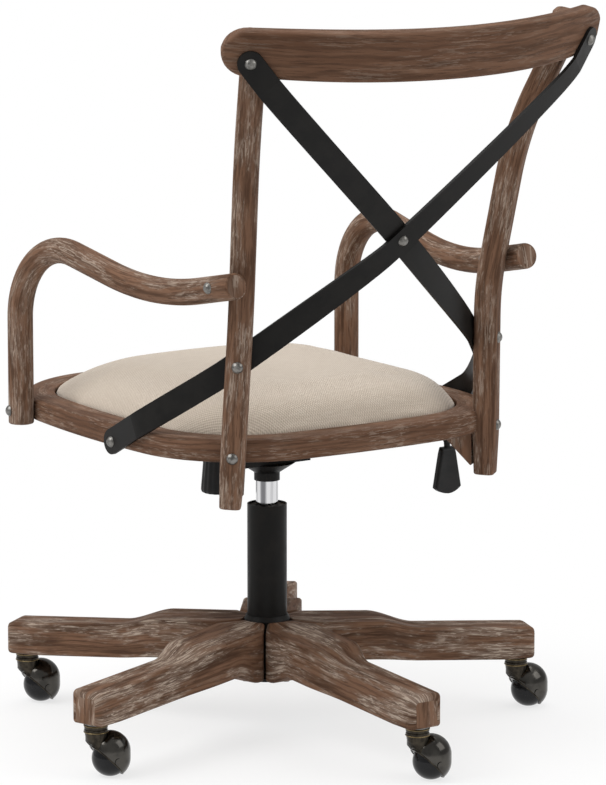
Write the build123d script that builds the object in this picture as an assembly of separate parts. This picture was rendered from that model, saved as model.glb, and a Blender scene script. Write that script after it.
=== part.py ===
from build123d import *
import math
import os

os.makedirs("parts", exist_ok=True)

# Office chair in millimetres, +Z up. The sitter faces -Y and has +X on the left hand.
# The origin is on the floor under the column axis.

# Driving dimensions: seat
seat_half_width = 246.8
seat_back_y = 234.9
seat_front_y = -311.6
seat_back_radius = 1200.0
seat_side_radius = 1320.0
seat_front_radius = 920.0
seat_back_corner = 149.0
seat_front_corner = 166.0
ring_bottom_z = 390.8
ring_height = 27.6
ring_border = 25.0
ring_ledge = 17.0
ledge_height = 5.2
ring_round = 5.0
board_thickness = 12.0
cushion_crown = 45.0
cushion_power = 5
cushion_gap = 0.4

# Driving dimensions: back posts, gussets, rail, straps and arms
post_angle = 38.0
post_size = 30.0
post_round = 9.0
post_outset = 6.5
post_drop = 54.0
post_lean = 11.3
post_knee_inset = 7.8
post_inset = 1.6
post_knee_z = 575.0
post_hip_z = 770.0
post_hip_x = 8.2
post_hip_y = 47.6
post_head_x = 34.2
post_head_y = 100.6
post_head_z = 885.0
post_bend_radius = 420.0
post_peak = 36.0
post_head_radius = 50.0
gusset_leg = 45.0
gusset_width = 24.0
rail_radius = 520.0
rail_thickness = 22.0
rail_height = 61.0
rail_half_length = 270.5
rail_tilt = 9.5
rail_cone = 5.0
rail_round = 6.0
rail_end_round = 29.0
rail_housing = 5.0
rail_lift = 15.5
rail_bolt_drop = 11.0
rail_bolt_shift = 0.8
strap_width = 31.0
strap_thickness = 4.0
strap_gap = 0.1
strap_sections = 8
strap_cross_flat = 46.0
strap_post_flat = 28.0
strap_head_run = 37.0
strap_foot_run = 58.0
strap_bend_reach = 24.0
strap_post_z = 511.0
strap_cross_y = 287.0
strap_cross_z = 656.0
strap_cross_tilt = 19.0
strap_seat_y = 30.0
strap_seat_z = 397.0
strap_foot_angle = 27.0
arm_diameter = 32.0
arm_foot_angle = -12.5
arm_foot_z = 387.5
arm_rear_gap = 23.5
arm_rear_y = 252.0
arm_rear_z = 614.0
arm_shoulder_z = 638.0
arm_shoulder_radius = 95.0
arm_dip_y = 95.0
arm_dip_z = 582.6
arm_dip_radius = 440.0
arm_bolt_shift = 2.0

# Driving dimensions: bolts
bolt_head = 14.0
bolt_dome = 4.5
bolt_shank = 6.0
bolt_nut = 11.0
bolt_nut_height = 4.0
bolt_grip = 19.0
past = 1.0

# Driving dimensions: tilt mechanism
plate_half_width = 68.0
plate_front_y = -132.0
plate_rear_y = 96.0
plate_thickness = 4.0
plate_bolt_inset = 12.0
housing_half_width = 50.0
housing_front_y = -140.0
housing_rear_y = 24.0
housing_floor_z = 340.0
housing_front_z = 386.0
housing_rear_z = 369.0
housing_wall = 3.0
collar_bottom_z = 317.0
collar_height = 13.0
collar_wall = 2.2
collar_setback = 2.0
dish_radius = 36.0
ear_thickness = 5.0
ear_radius = 13.0
ear_room = 4.0
side_gap = 0.6
tilt_pin_y = -38.0
tilt_pin_z = 372.0
tilt_pin_diameter = 12.0
pin_overhang = 3.0
fit_gap = 0.05
spring_wire = 4.0
spring_turns = 9
spring_pitch = 5.6
spring_room = 0.3
knob_y = -108.0
knob_bottom_z = 283.0
knob_top_z = 335.0
knob_bottom_diameter = 48.0
knob_top_diameter = 40.0
knob_wall = 3.0
tension_bolt = 10.0
tension_nut_z = 352.0
tension_nut_size = 22.0
tension_nut_height = 10.0
lever_rod = 8.0
lever_pivot_x = -35.0
lever_inner_x = 14.0
lever_knee_x = -85.0
lever_out_x = -250.0
lever_out_y = 42.0
lever_out_z = 353.0
lever_bend = 13.0
paddle_top_z = 338.0
paddle_length = 60.0
paddle_top_width = 21.0
paddle_bottom_width = 43.0
paddle_thickness = 11.0
paddle_toe_radius = 28.8
slider_length = 10.0
slider_width = 18.0
slider_height = 12.0
lever_pin = 5.0
rock_gap = 0.8

# Driving dimensions: gas column
tube_diameter = 50.0
tube_wall = 2.0
tube_bottom_z = 71.0
tube_top_z = 286.6
tube_floor = 4.0
bush_length = 85.0
bush_recess = 1.5
cylinder_diameter = 28.0
cylinder_wall = 2.5
cylinder_bottom_z = 165.0
cylinder_top_z = 366.0
cylinder_neck = 26.0
cylinder_end = 4.0
piston_z = 257.0
piston_height = 9.0
piston_rod_diameter = 10.0
rod_end_z = 67.5
bearing_diameter = 34.0
bearing_height = 8.0
clip_height = 2.0
clip_width = 4.0
clip_setback = 1.0
button_diameter = 8.0
button_stroke_room = 0.4
button_length = 16.0
button_rise = 6.0

# Driving dimensions: five-leg base
leg_count = 5
base_turn = 0.95
leg_tip_radius = 351.0
leg_width = 47.0
leg_hub_width = 76.0
leg_tip_top_z = 109.5
leg_tip_bottom_z = 68.5
hub_top_z = 138.5
leg_fall = 0.055
leg_tip_flat = 40.0
leg_arch_z = 85.0
boss_inner = 60.0
boss_outer = 105.0
hub_bottom_z = 71.0
ogee_inner = 140.0
ogee_outer = 198.0
mitre_gap = 3.0
leg_root_depth = 6.0
leg_corner = 8.0
leg_crown_round = 7.0
sleeve_wall = 2.5
flange_overhang = 4.0
flange_height = 6.0
hub_plate_radius = 50.0
hub_plate_thickness = 4.0
hub_screw_radius = 42.0
hub_screw_head = 10.0
hub_screw_head_height = 2.0
hub_screw_shank = 5.0
hub_screw_length = 30.0

# Driving dimensions: casters
caster_pitch = 331.6
caster_trail = 18.5
caster_heading = -82.0
ball_diameter = 45.0
ball_gap = 0.6
hood_wall = 2.0
hood_rim = 5.0
hood_rise = 9.0
collar_diameter = 29.0
collar_groove = 1.2
collar_height = 10.0
stem_diameter = 11.0
stem_length = 32.0
socket_wall = 2.0
socket_flange = 28.0
socket_flange_height = 1.6
socket_cap = 1.0
swivel_gap = 0.3
axle_diameter = 6.0
axle_head = 9.0
axle_head_height = 1.2
neck_diameter = 26.0
neck_bottom_z = 32.0


def save(name, shape):
    export_step(shape, f"parts/{name}.step")


def rod(radius, z0, z1, x=0.0, y=0.0):
    return Pos(x, y, (z0 + z1) / 2) * Cylinder(radius, z1 - z0)


def block(x0, x1, y0, y1, z0, z1):
    return Pos((x0 + x1) / 2, (y0 + y1) / 2, (z0 + z1) / 2) * Box(x1 - x0, y1 - y0, z1 - z0)


def bearing_vector(degrees):
    """Unit vector in plan, measured from +Y towards +X."""
    return Vector(math.sin(math.radians(degrees)), math.cos(math.radians(degrees)), 0)


def mirrored(shape):
    return mirror(shape, Plane.YZ)


def bent_path(points, radii):
    """Straight runs joined by tangent arcs, one radius for each inner point."""
    points = [Vector(p) for p in points]
    edges = []
    start = points[0]
    for before, corner, after, radius in zip(points, points[1:], points[2:], radii):
        u = (before - corner).normalized()
        v = (after - corner).normalized()
        half = math.acos(u.dot(v)) / 2
        bisector = (u + v).normalized()
        first = corner + u * (radius / math.tan(half))
        last = corner + v * (radius / math.tan(half))
        middle = corner + bisector * (radius / math.sin(half) - radius)
        edges.append(Line(start, first))
        edges.append(ThreePointArc(first, middle, last))
        start = last
    edges.append(Line(start, points[-1]))
    return Wire(edges)


def domed_bolt(seat, outward, reach, with_nut):
    """Domed head on its seat, shank running inwards, and a domed nut at the far end."""
    radius = bolt_head / 2
    sphere = (radius ** 2 + bolt_dome ** 2) / (2 * bolt_dome)
    dome = Pos(0, 0, bolt_dome - sphere) * Sphere(sphere) & rod(bolt_head, 0, bolt_head)
    body = dome + rod(bolt_shank / 2, -reach, bolt_dome / 2)
    if with_nut:
        cap = ((bolt_nut / 2) ** 2 + bolt_nut_height ** 2) / (2 * bolt_nut_height)
        tip = Pos(0, 0, cap - bolt_nut_height - reach) * Sphere(cap)
        body += tip & rod(bolt_nut, -reach - bolt_nut, -reach)
    return Plane(origin=seat, z_dir=outward).location * body


def bolt_bore(seat, outward, reach, with_nut):
    """Hole for one bolt, with a flat seat for its head and for its nut."""
    bore = rod(bolt_shank / 2, -reach, bolt_dome) + rod(bolt_head / 2, 0, bolt_head)
    if with_nut:
        bore += rod(bolt_nut / 2, -reach - bolt_nut, -reach)
    return Plane(origin=seat, z_dir=outward).location * bore


# Seat plan: one back, two side and one front arc, joined by tangent corner arcs
back_centre = Vector(0, seat_back_y - seat_back_radius)
side_centre = Vector(seat_half_width - seat_side_radius, 0)
front_centre = Vector(0, seat_front_y + seat_front_radius)


def corner_centre(centre, radius, corner, sign):
    """Centre of the corner arc that is tangent inside a long arc and a side arc."""
    r1 = radius - corner
    r2 = seat_side_radius - corner
    along = side_centre - centre
    span = along.length
    k = (r1 ** 2 - r2 ** 2 + span ** 2) / (2 * span)
    h = math.sqrt(r1 ** 2 - k ** 2)
    unit = along.normalized()
    return centre + unit * k + Vector(-unit.Y, unit.X) * (sign * h)


back_corner = corner_centre(back_centre, seat_back_radius, seat_back_corner, -1)
front_corner = corner_centre(front_centre, seat_front_radius, seat_front_corner, 1)


def heading(centre, point):
    offset = point - centre
    return math.degrees(math.atan2(offset.X, offset.Y))


turn_back = heading(back_centre, back_corner)
turn_side_back = heading(side_centre, back_corner)
turn_side_front = heading(side_centre, front_corner)
turn_front = heading(front_centre, front_corner)


def seat_arc(centre, radius, first, last, z, scale, side):
    ends = []
    for turn in (first, (first + last) / 2, last):
        p = centre + bearing_vector(turn) * radius
        y = seat_middle_y + (p.Y - seat_middle_y) * scale
        ends.append(Vector(side * p.X * scale, y, z))
    return ThreePointArc(*ends)


seat_middle_y = (seat_back_y + seat_front_y) / 2


def seat_face(inset, z, scale=1.0):
    """Seat plan drawn in by an inset, at a height, and scaled about its middle."""
    arcs = [seat_arc(back_centre, seat_back_radius - inset, -turn_back, turn_back, z, scale, 1)]
    for side in (1, -1):
        for centre, radius, first, last in (
            (back_corner, seat_back_corner, turn_back, turn_side_back),
            (side_centre, seat_side_radius, turn_side_back, turn_side_front),
            (front_corner, seat_front_corner, turn_side_front, turn_front),
        ):
            arcs.append(seat_arc(centre, radius - inset, first, last, z, scale, side))
    arcs.append(seat_arc(front_centre, seat_front_radius - inset, turn_front, 360 - turn_front, z, scale, 1))
    return make_face(Wire(arcs))


def side_x(y):
    """Half width of the seat plan on its side arc."""
    return side_centre.X + math.sqrt(seat_side_radius ** 2 - (y - side_centre.Y) ** 2)


# Back posts: bent oak, rounded square section, housed in the ring's rear corners
ring_top_z = ring_bottom_z + ring_height
outward = bearing_vector(post_angle)
post_seat = back_corner + outward * (seat_back_corner + post_outset)
post_foot = Vector(post_seat.X, post_seat.Y - post_inset, ring_bottom_z - post_drop)
post_knee = Vector(post_seat.X - post_knee_inset, post_seat.Y + post_lean, post_knee_z)
post_hip = Vector(post_seat.X + post_hip_x, post_seat.Y + post_hip_y, post_hip_z)
post_head = Vector(post_seat.X + post_head_x, post_seat.Y + post_head_y, post_head_z)
rail_normal_tilt = rail_tilt + rail_cone
post_rise = Vector(0, math.sin(math.radians(rail_normal_tilt)), math.cos(math.radians(rail_normal_tilt)))
post_top = post_head + post_rise * post_peak
post_axis = bent_path(
    [post_foot, post_knee, post_hip, post_head, post_top],
    [post_bend_radius, post_bend_radius, post_head_radius],
)
post_plane = Plane(origin=post_foot, x_dir=outward, z_dir=post_knee - post_foot)
post_side = post_plane.x_dir
post_blank = sweep(post_plane * RectangleRounded(post_size, post_size, post_round), post_axis)


def post_at(z):
    """Centre of the post on its straight lower run."""
    return post_foot + (post_knee - post_foot) * ((z - post_foot.Z) / (post_knee.Z - post_foot.Z))


# Top rail: a bent board behind the post heads, leaning back and slightly conical
lean = math.radians(rail_tilt)
rail_up = Vector(0, math.sin(lean), math.cos(lean))
rail_back = Vector(0, math.cos(lean), -math.sin(lean))
seat_radius = rail_radius - rail_thickness - post_size / 2 + rail_housing
rail_reach = math.sqrt(seat_radius ** 2 - post_head.X ** 2)
rail_origin = Vector(0, post_head.Y, post_head.Z) - rail_back * rail_reach + rail_up * rail_lift
rail_plane = Plane(origin=rail_origin, x_dir=(1, 0, 0), z_dir=rail_up)
rail_section = Pos(rail_radius - rail_thickness / 2, 0) * Rot(0, 0, -rail_cone) * RectangleRounded(
    rail_thickness, rail_height, rail_round)
rail_sweep = 2 * math.degrees(math.asin(rail_half_length / (rail_radius - 2 * rail_thickness)))
rail_band = revolve(Plane.XZ * rail_section, Axis.Z, rail_sweep)
rail_band = Rot(0, 0, 90 - rail_sweep / 2) * rail_band
rail_outline = RectangleRounded(2 * rail_half_length, rail_height + 2 * past, rail_end_round)
rail_trim = extrude(Plane.XZ * rail_outline, -2 * rail_radius)
top_rail = rail_plane.location * (rail_band & rail_trim)
rail_bolt_turn = math.degrees(math.atan2(post_head.X, rail_reach)) + rail_bolt_shift


def rail_point(turn, outset, up):
    """Point off the rail's rear face, for a turn about the rail's centre."""
    face = rail_radius + outset + up * math.tan(math.radians(rail_cone))
    flat = bearing_vector(turn) * face
    return rail_origin + Vector(1, 0, 0) * flat.X + rail_back * flat.Y + rail_up * up


cone = math.radians(rail_cone)
rail_flat = bearing_vector(rail_bolt_turn) * math.cos(cone)
rail_normal = Vector(1, 0, 0) * rail_flat.X + rail_back * rail_flat.Y - rail_up * math.sin(cone)

# Straps: flat steel from the rail, over the crossing, past the other post to the ring's side
half_strap = strap_thickness / 2
strap_head = rail_point(rail_bolt_turn, half_strap + strap_gap, -rail_bolt_drop)
cross_tilt = math.radians(strap_cross_tilt)
cross_normal = Vector(0, math.cos(cross_tilt), -math.sin(cross_tilt))
post_inner = post_at(strap_post_z) - post_side * (post_size / 2 + half_strap)
strap_post = Vector(-post_inner.X, post_inner.Y, post_inner.Z)
strap_post_normal = Vector(-post_side.X, post_side.Y, post_side.Z)
strap_side_x = side_x(strap_seat_y - strap_width / 2) + half_strap + strap_gap
side_normal = Vector(-1, 0, 0)
strap_foot = Vector(-strap_side_x, strap_seat_y, strap_seat_z)
foot_angle = math.radians(strap_foot_angle)


def along_face(direction, normal):
    """Unit vector of a direction laid flat on a face."""
    return (direction - normal * direction.dot(normal)).normalized()


def strap_section(point, along, normal):
    return Plane(point, x_dir=along.cross(normal), z_dir=along) * Rectangle(strap_width, strap_thickness)


def strap_end(centre, along, normal, length):
    """Flat end with a round tip, from the bolt's centre to where the strap starts to bend."""
    tip = extrude(Circle(strap_width / 2), half_strap, both=True)
    run = Pos(length / 2, 0, 0) * Box(length, strap_width, strap_thickness)
    return Plane(origin=centre, x_dir=along, z_dir=normal).location * (tip + run)


def strap_bend(first, last):
    """Bent run between two flats, each a point, its direction and its face normal."""
    path = Bezier(
        first[0], first[0] + first[1] * strap_bend_reach,
        last[0] - last[1] * strap_bend_reach, last[0])
    sections = []
    for step in range(strap_sections + 1):
        share = step / strap_sections
        along = path.tangent_at(share)
        normal = along_face(first[2] * (1 - share) + last[2] * share, along)
        sections.append(strap_section(path.position_at(share), along, normal))
    return loft(sections)


def strap(layer):
    """One strap; the layer is 1 for the outer strap at the crossing and -1 for the inner."""
    cross = Vector(0, strap_cross_y, strap_cross_z) + cross_normal * (layer * (half_strap + strap_gap))
    head_along = along_face(cross - strap_head, rail_normal)
    cross_along = along_face(strap_post - strap_head, cross_normal)
    post_along = along_face(strap_foot - cross, strap_post_normal)
    foot_along = Vector(0, -math.cos(foot_angle), -math.sin(foot_angle))
    body = strap_end(strap_head, head_along, rail_normal, strap_head_run)
    body += strap_end(strap_foot, -foot_along, side_normal, strap_foot_run)
    leaving = (strap_head + head_along * strap_head_run, head_along, rail_normal)
    flats = [
        (cross, cross_along, cross_normal, strap_cross_flat),
        (strap_post, post_along, strap_post_normal, strap_post_flat),
    ]
    for centre, along, normal, length in flats:
        flat = Box(length, strap_width, strap_thickness)
        body += Plane(origin=centre, x_dir=along, z_dir=normal).location * flat
        body += strap_bend(leaving, (centre - along * length / 2, along, normal))
        leaving = (centre + along * length / 2, along, normal)
    body += strap_bend(leaving, (strap_foot - foot_along * strap_foot_run, foot_along, side_normal))
    return body


strap_a = strap(-1)
strap_b = mirrored(strap(1))

# Arms: one bent round bar a side, from the ring's front corner to the post's outer side
arm_radius = arm_diameter / 2
foot_out = bearing_vector(90 - arm_foot_angle)
arm_foot = front_corner + foot_out * (seat_front_corner + arm_radius)
arm_rear = Vector(post_seat.X + arm_rear_gap, arm_rear_y)
arm_run = (arm_rear - arm_foot).normalized()
arm_slope = arm_run.X / arm_run.Y


def arm_point(y, z):
    return Vector(arm_foot.X + arm_slope * (y - arm_foot.Y), y, z)


arm_axis = bent_path(
    [
        arm_point(arm_foot.Y, arm_foot_z),
        arm_point(arm_foot.Y, arm_shoulder_z),
        arm_point(arm_dip_y, arm_dip_z),
        arm_point(arm_rear_y, arm_rear_z),
    ],
    [arm_shoulder_radius, arm_dip_radius],
)
arm_blank = sweep(Plane(origin=arm_point(arm_foot.Y, arm_foot_z)) * Circle(arm_radius), arm_axis)
arm_side = Vector(arm_run.Y, -arm_run.X, 0)

# Bolts of the left side: seat of the head, outward direction, reach, domed nut
cross_seat = Vector(0, strap_cross_y, strap_cross_z) + cross_normal * (strap_thickness + strap_gap)
strap_seat = post_at(strap_post_z) + post_side * post_size / 2
post_bolt_seat = post_at(ring_bottom_z + ring_height / 3) + post_side * post_size / 2
ring_bolt_seat = Vector(strap_side_x + half_strap, strap_seat_y, strap_seat_z)
arm_bolt_y = post_knee.Y + arm_bolt_shift
arm_rise = (arm_rear_z - arm_dip_z) / (arm_rear_y - arm_dip_y)
arm_bolt_z = arm_rear_z - (arm_rear_y - arm_bolt_y) * arm_rise + arm_bolt_shift
arm_bolt_seat = arm_point(arm_bolt_y, arm_bolt_z) + arm_side * arm_radius
foot_bolt_seat = Vector(arm_foot.X, arm_foot.Y, ring_bottom_z + ring_height / 2) + foot_out * arm_radius
rail_grip = strap_thickness + rail_thickness + post_size - rail_housing - bolt_nut_height
bolts = {
    "rail_bolts": (strap_head + rail_normal * half_strap, rail_normal, rail_grip, True),
    "cross_bolt": (cross_seat, cross_normal, 2 * (strap_thickness + strap_gap), True),
    "strap_bolts": (strap_seat, post_side, post_size + strap_thickness, True),
    "post_bolts": (post_bolt_seat, post_side, post_size + bolt_grip - post_outset, False),
    "ring_bolts": (ring_bolt_seat, Vector(1, 0, 0), strap_thickness + bolt_grip, False),
    "arm_bolts": (arm_bolt_seat, arm_side, arm_diameter + post_size - bolt_nut_height, True),
    "foot_bolts": (foot_bolt_seat, foot_out, arm_diameter + bolt_grip, False),
}
bores = {}
for name, bolt in bolts.items():
    bores[name] = bolt_bore(*bolt)

# Gussets: triangular braces under the ring, inside each post
gusset_inner = post_at(ring_bottom_z) - outward * post_size / 2
gusset_plane = Plane(origin=gusset_inner, x_dir=-outward, z_dir=Vector(0, 0, 1).cross(outward))
gusset_face = make_face(Polyline((0, 0), (gusset_leg, 0), (0, -gusset_leg), close=True))
gusset = extrude(gusset_plane * gusset_face, gusset_width / 2, both=True) - post_blank

# Seat ring, with a housing for each post
ring_outer = extrude(seat_face(0, ring_bottom_z), ring_height)
ring_outer = fillet(ring_outer.edges().group_by(Axis.Z)[-1], ring_round)
ring_outer = fillet(ring_outer.edges().group_by(Axis.Z)[0], ring_round / 2)
ring_mouth = extrude(seat_face(ring_border, ring_bottom_z + ledge_height), ring_height)
ring_hole = extrude(seat_face(ring_border + ring_ledge, ring_bottom_z - past), ring_height)
ring_cutters = [post_blank, mirrored(post_blank)]
for name in ("post_bolts", "ring_bolts", "foot_bolts"):
    ring_cutters += [bores[name], mirrored(bores[name])]
seat_frame = ring_outer - ring_mouth - ring_hole
for cutter in ring_cutters:
    seat_frame -= cutter

# Board on the ring's ledge, and the cushion: an upright rim in the ring under a flattened dome
board_bottom_z = ring_bottom_z + ledge_height
board_top_z = board_bottom_z + board_thickness
seat_board = extrude(seat_face(ring_border + cushion_gap, board_bottom_z), board_thickness)
cushion_levels = [(board_top_z, 1.0)]
for scale in (1.0, 0.97, 0.91, 0.83, 0.72, 0.58, 0.4, 0.2):
    cushion_levels.append((ring_top_z + cushion_crown * (1 - scale ** cushion_power), scale))
cushion_outlines = [seat_face(ring_border + cushion_gap, z, scale) for z, scale in cushion_levels]
seat_cushion = loft(cushion_outlines, ruled=True)

# Wood cut for its neighbours: posts for the rail, straps and bolts; arms for posts and ring
rail_cut = rail_plane.location * (
    Rot(0, 0, 90 - rail_sweep / 2) * revolve(
        Plane.XZ * (Pos(rail_radius, 0) * Rot(0, 0, -rail_cone) * Rectangle(
            2 * rail_thickness, 2 * rail_height)), Axis.Z, rail_sweep))
rail_below = rail_plane.location * block(
    -rail_radius, rail_radius, 0, 2 * rail_radius, -2 * rail_height, -rail_height / 2)
post = post_blank - (rail_cut - rail_below)
for name in ("rail_bolts", "strap_bolts", "post_bolts", "arm_bolts"):
    post -= bores[name]
arm = arm_blank - post_blank - ring_outer - bores["arm_bolts"] - bores["foot_bolts"]
top_rail = top_rail - bores["rail_bolts"] - mirrored(bores["rail_bolts"])
strap_a -= bores["rail_bolts"]
strap_b -= mirrored(bores["rail_bolts"])
for name in ("strap_bolts", "ring_bolts"):
    strap_a -= mirrored(bores[name])
    strap_b -= bores[name]
strap_a -= bores["cross_bolt"]
strap_b -= bores["cross_bolt"]

# Tilt mechanism: housing pan with a tapered collar for the cylinder
housing_side = Plane.YZ * make_face(Polyline(
    (housing_front_y, housing_floor_z),
    (housing_rear_y, housing_floor_z),
    (housing_rear_y, housing_rear_z),
    (tilt_pin_y + ear_radius + ear_room, housing_front_z),
    (housing_front_y, housing_front_z),
    close=True,
))
housing_body = extrude(housing_side, housing_half_width, both=True)
housing_hollow = block(
    -housing_half_width + housing_wall, housing_half_width - housing_wall,
    housing_front_y + housing_wall, housing_rear_y - housing_wall,
    housing_floor_z + housing_wall, housing_front_z + past)
cylinder_radius = cylinder_diameter / 2
neck_radius = cylinder_neck / 2
collar_radius = cylinder_radius + collar_wall
collar_top_z = cylinder_top_z - collar_setback
collar = rod(collar_radius, collar_bottom_z, collar_top_z)
dish_bottom_z = collar_bottom_z + collar_height
dish = Pos(0, 0, dish_bottom_z) * Solid.make_cone(collar_radius, dish_radius, housing_floor_z - dish_bottom_z)
cylinder_taper = Pos(0, 0, collar_bottom_z) * Solid.make_cone(
    cylinder_radius, neck_radius, cylinder_top_z - collar_bottom_z)
tilt_pin = Plane(origin=(0, tilt_pin_y, tilt_pin_z), z_dir=(1, 0, 0)).location * Cylinder(
    tilt_pin_diameter / 2, 2 * (housing_half_width + pin_overhang))
lever_z = cylinder_top_z + button_rise + lever_rod / 2
lever_slot = block(
    -housing_half_width - past, -housing_half_width + housing_wall + past,
    -lever_rod / 2 - rock_gap, lever_rod / 2 + rock_gap,
    lever_z - lever_rod / 2 - 2 * rock_gap, housing_front_z + past)
knob_hole = rod(
    tension_bolt / 2 + fit_gap, housing_floor_z - past, housing_floor_z + housing_wall + past, 0, knob_y)
mechanism_housing = housing_body - housing_hollow + collar + dish
for cutter in (cylinder_taper, tilt_pin, lever_slot, knob_hole):
    mechanism_housing -= cutter

# Seat plate with an ear on each side of the pan, turning on the tilt pin
plate_top_z = board_bottom_z
plate_bottom_z = plate_top_z - plate_thickness
seat_plate = block(
    -plate_half_width, plate_half_width, plate_front_y, plate_rear_y, plate_bottom_z, plate_top_z)
ear_outer_x = housing_half_width - housing_wall - side_gap
for side in (1, -1):
    ear_x = sorted((side * ear_outer_x, side * (ear_outer_x - ear_thickness)))
    seat_plate += block(
        ear_x[0], ear_x[1], tilt_pin_y - ear_radius, tilt_pin_y + ear_radius, tilt_pin_z, plate_top_z)
    seat_plate += Plane(origin=(sum(ear_x) / 2, tilt_pin_y, tilt_pin_z), z_dir=(1, 0, 0)).location * Cylinder(
        ear_radius, ear_thickness)
seat_plate -= Plane(origin=(0, tilt_pin_y, tilt_pin_z), z_dir=(1, 0, 0)).location * Cylinder(
    tilt_pin_diameter / 2 + fit_gap, 2 * housing_half_width)
plate_screws = []
for side in (1, -1):
    for y in (plate_front_y + plate_bolt_inset, plate_rear_y - plate_bolt_inset):
        seat = Vector(side * (plate_half_width - plate_bolt_inset / 2), y, plate_bottom_z)
        plate_screws.append(domed_bolt(seat, Vector(0, 0, -1), plate_thickness + board_thickness / 2, False))
for screw in plate_screws:
    seat_plate -= screw
    seat_board -= screw

# Torsion spring wound round the tilt pin
spring_radius = tilt_pin_diameter / 2 + spring_wire / 2 + spring_room
spring_length = spring_turns * spring_pitch
spring_plane = Plane(origin=(-spring_length / 2, tilt_pin_y, tilt_pin_z), z_dir=(1, 0, 0))
spring_axis = spring_plane.location * Helix(spring_pitch, spring_length, spring_radius)
spring_start = Plane(origin=spring_axis @ 0, z_dir=spring_axis % 0)
tilt_spring = sweep(spring_start * Circle(spring_wire / 2), spring_axis, is_frenet=True)

# Tension knob, its bolt through the pan's floor, and the nut that the bolt drives
knob_height = knob_top_z - knob_bottom_z
knob_taper = math.degrees(math.atan2((knob_bottom_diameter - knob_top_diameter) / 2, knob_height))
tension_knob = Pos(0, knob_y, knob_bottom_z) * extrude(
    Circle(knob_bottom_diameter / 2), knob_height, taper=knob_taper)
tension_knob = fillet(tension_knob.edges().group_by(Axis.Z)[0], knob_wall)
knob_cavity = rod(
    knob_top_diameter / 2 - knob_wall, knob_bottom_z + 4 * knob_wall, knob_top_z + past, 0, knob_y)
bolt_bottom_z = knob_bottom_z + 2 * knob_wall
tension_screw = rod(tension_bolt / 2, bolt_bottom_z, tension_nut_z + 2 * tension_nut_height, 0, knob_y)
tension_screw += rod(tension_bolt, knob_top_z, housing_floor_z - swivel_gap, 0, knob_y)
tension_knob = tension_knob - knob_cavity - tension_screw
half_nut = tension_nut_size / 2
nut_top_z = tension_nut_z + tension_nut_height
tension_nut = block(-half_nut, half_nut, knob_y - half_nut, knob_y + half_nut, tension_nut_z, nut_top_z)
tension_nut -= rod(tension_bolt / 2 + fit_gap, tension_nut_z - past, nut_top_z + past, 0, knob_y)

# Height lever: bent rod, moulded paddle, and the lock slider that moves in and out with the rod
lever_axis = bent_path(
    [
        (lever_inner_x, 0, lever_z),
        (lever_knee_x, 0, lever_z),
        (lever_out_x, lever_out_y, lever_out_z),
        (lever_out_x, lever_out_y, paddle_top_z - paddle_length / 3),
    ],
    [lever_bend, lever_bend],
)
lever_start = Plane(origin=(lever_inner_x, 0, lever_z), z_dir=(-1, 0, 0))
lever_pivot = Plane(origin=(lever_pivot_x, 0, lever_z), z_dir=(0, 1, 0)).location
lever_bar = sweep(lever_start * Circle(lever_rod / 2), lever_axis)
lever_bar += lever_pivot * Cylinder(lever_pin / 2, slider_width)
paddle_bottom_z = paddle_top_z - paddle_length
paddle_round = paddle_thickness / 3
paddle_faces = []
for z, width in ((paddle_top_z, paddle_top_width), (paddle_bottom_z, paddle_bottom_width)):
    paddle_face = RectangleRounded(width, paddle_thickness, paddle_round)
    paddle_faces.append(Pos(lever_out_x, lever_out_y, z) * paddle_face)
lever_paddle = loft(paddle_faces)
paddle_toe_z = paddle_bottom_z + paddle_toe_radius
paddle_toe = Plane(origin=(lever_out_x, lever_out_y, paddle_toe_z), z_dir=(0, 1, 0)).location * Cylinder(
    paddle_toe_radius, 2 * paddle_thickness)
paddle_toe += block(
    lever_out_x - paddle_bottom_width, lever_out_x + paddle_bottom_width,
    lever_out_y - paddle_thickness, lever_out_y + paddle_thickness, paddle_toe_z, paddle_top_z)
lever_paddle &= paddle_toe
lever_paddle -= lever_bar
lock_slider = block(
    lever_pivot_x - slider_length / 2, lever_pivot_x + slider_length / 2, -slider_width / 2, slider_width / 2,
    lever_z - slider_height / 2, lever_z + slider_height / 2)
lock_slider -= Plane(origin=(lever_pivot_x, 0, lever_z), z_dir=(1, 0, 0)).location * Cylinder(
    lever_rod / 2 + rock_gap, slider_length + 2 * past)
lock_slider -= lever_pivot * Cylinder(lever_pin / 2 + fit_gap, slider_width + 2 * past)

# Gas column: tube, bush, cylinder, rod with its piston, bearing, clip and valve button
tube_radius = tube_diameter / 2
tube_inner = tube_radius - tube_wall
rod_radius = piston_rod_diameter / 2
column_tube = rod(tube_radius, tube_bottom_z, tube_top_z)
column_tube -= rod(tube_inner, tube_bottom_z + tube_floor, tube_top_z + past)
column_tube -= rod(rod_radius + fit_gap, tube_bottom_z - past, tube_bottom_z + tube_floor + past)
bush_top_z = tube_top_z - bush_recess
guide_bush = rod(tube_inner, bush_top_z - bush_length, bush_top_z) - rod(
    cylinder_radius + fit_gap, bush_top_z - bush_length - past, bush_top_z + past)
bearing_bottom_z = tube_bottom_z + tube_floor
bearing_top_z = bearing_bottom_z + bearing_height
thrust_bearing = rod(bearing_diameter / 2, bearing_bottom_z, bearing_top_z) - rod(
    rod_radius + fit_gap, bearing_bottom_z - past, bearing_top_z + past)
cylinder_bore = neck_radius - cylinder_wall
gas_cylinder = rod(cylinder_radius, cylinder_bottom_z, collar_bottom_z) + cylinder_taper
gas_cylinder -= rod(cylinder_bore, cylinder_bottom_z + cylinder_end, cylinder_top_z - cylinder_end)
gas_cylinder -= rod(rod_radius + fit_gap, cylinder_bottom_z - past, cylinder_bottom_z + cylinder_end + past)
gas_cylinder -= rod(
    button_diameter / 2 + fit_gap, cylinder_top_z - cylinder_end - past, cylinder_top_z + past)
piston_radius = cylinder_bore - fit_gap
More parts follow.
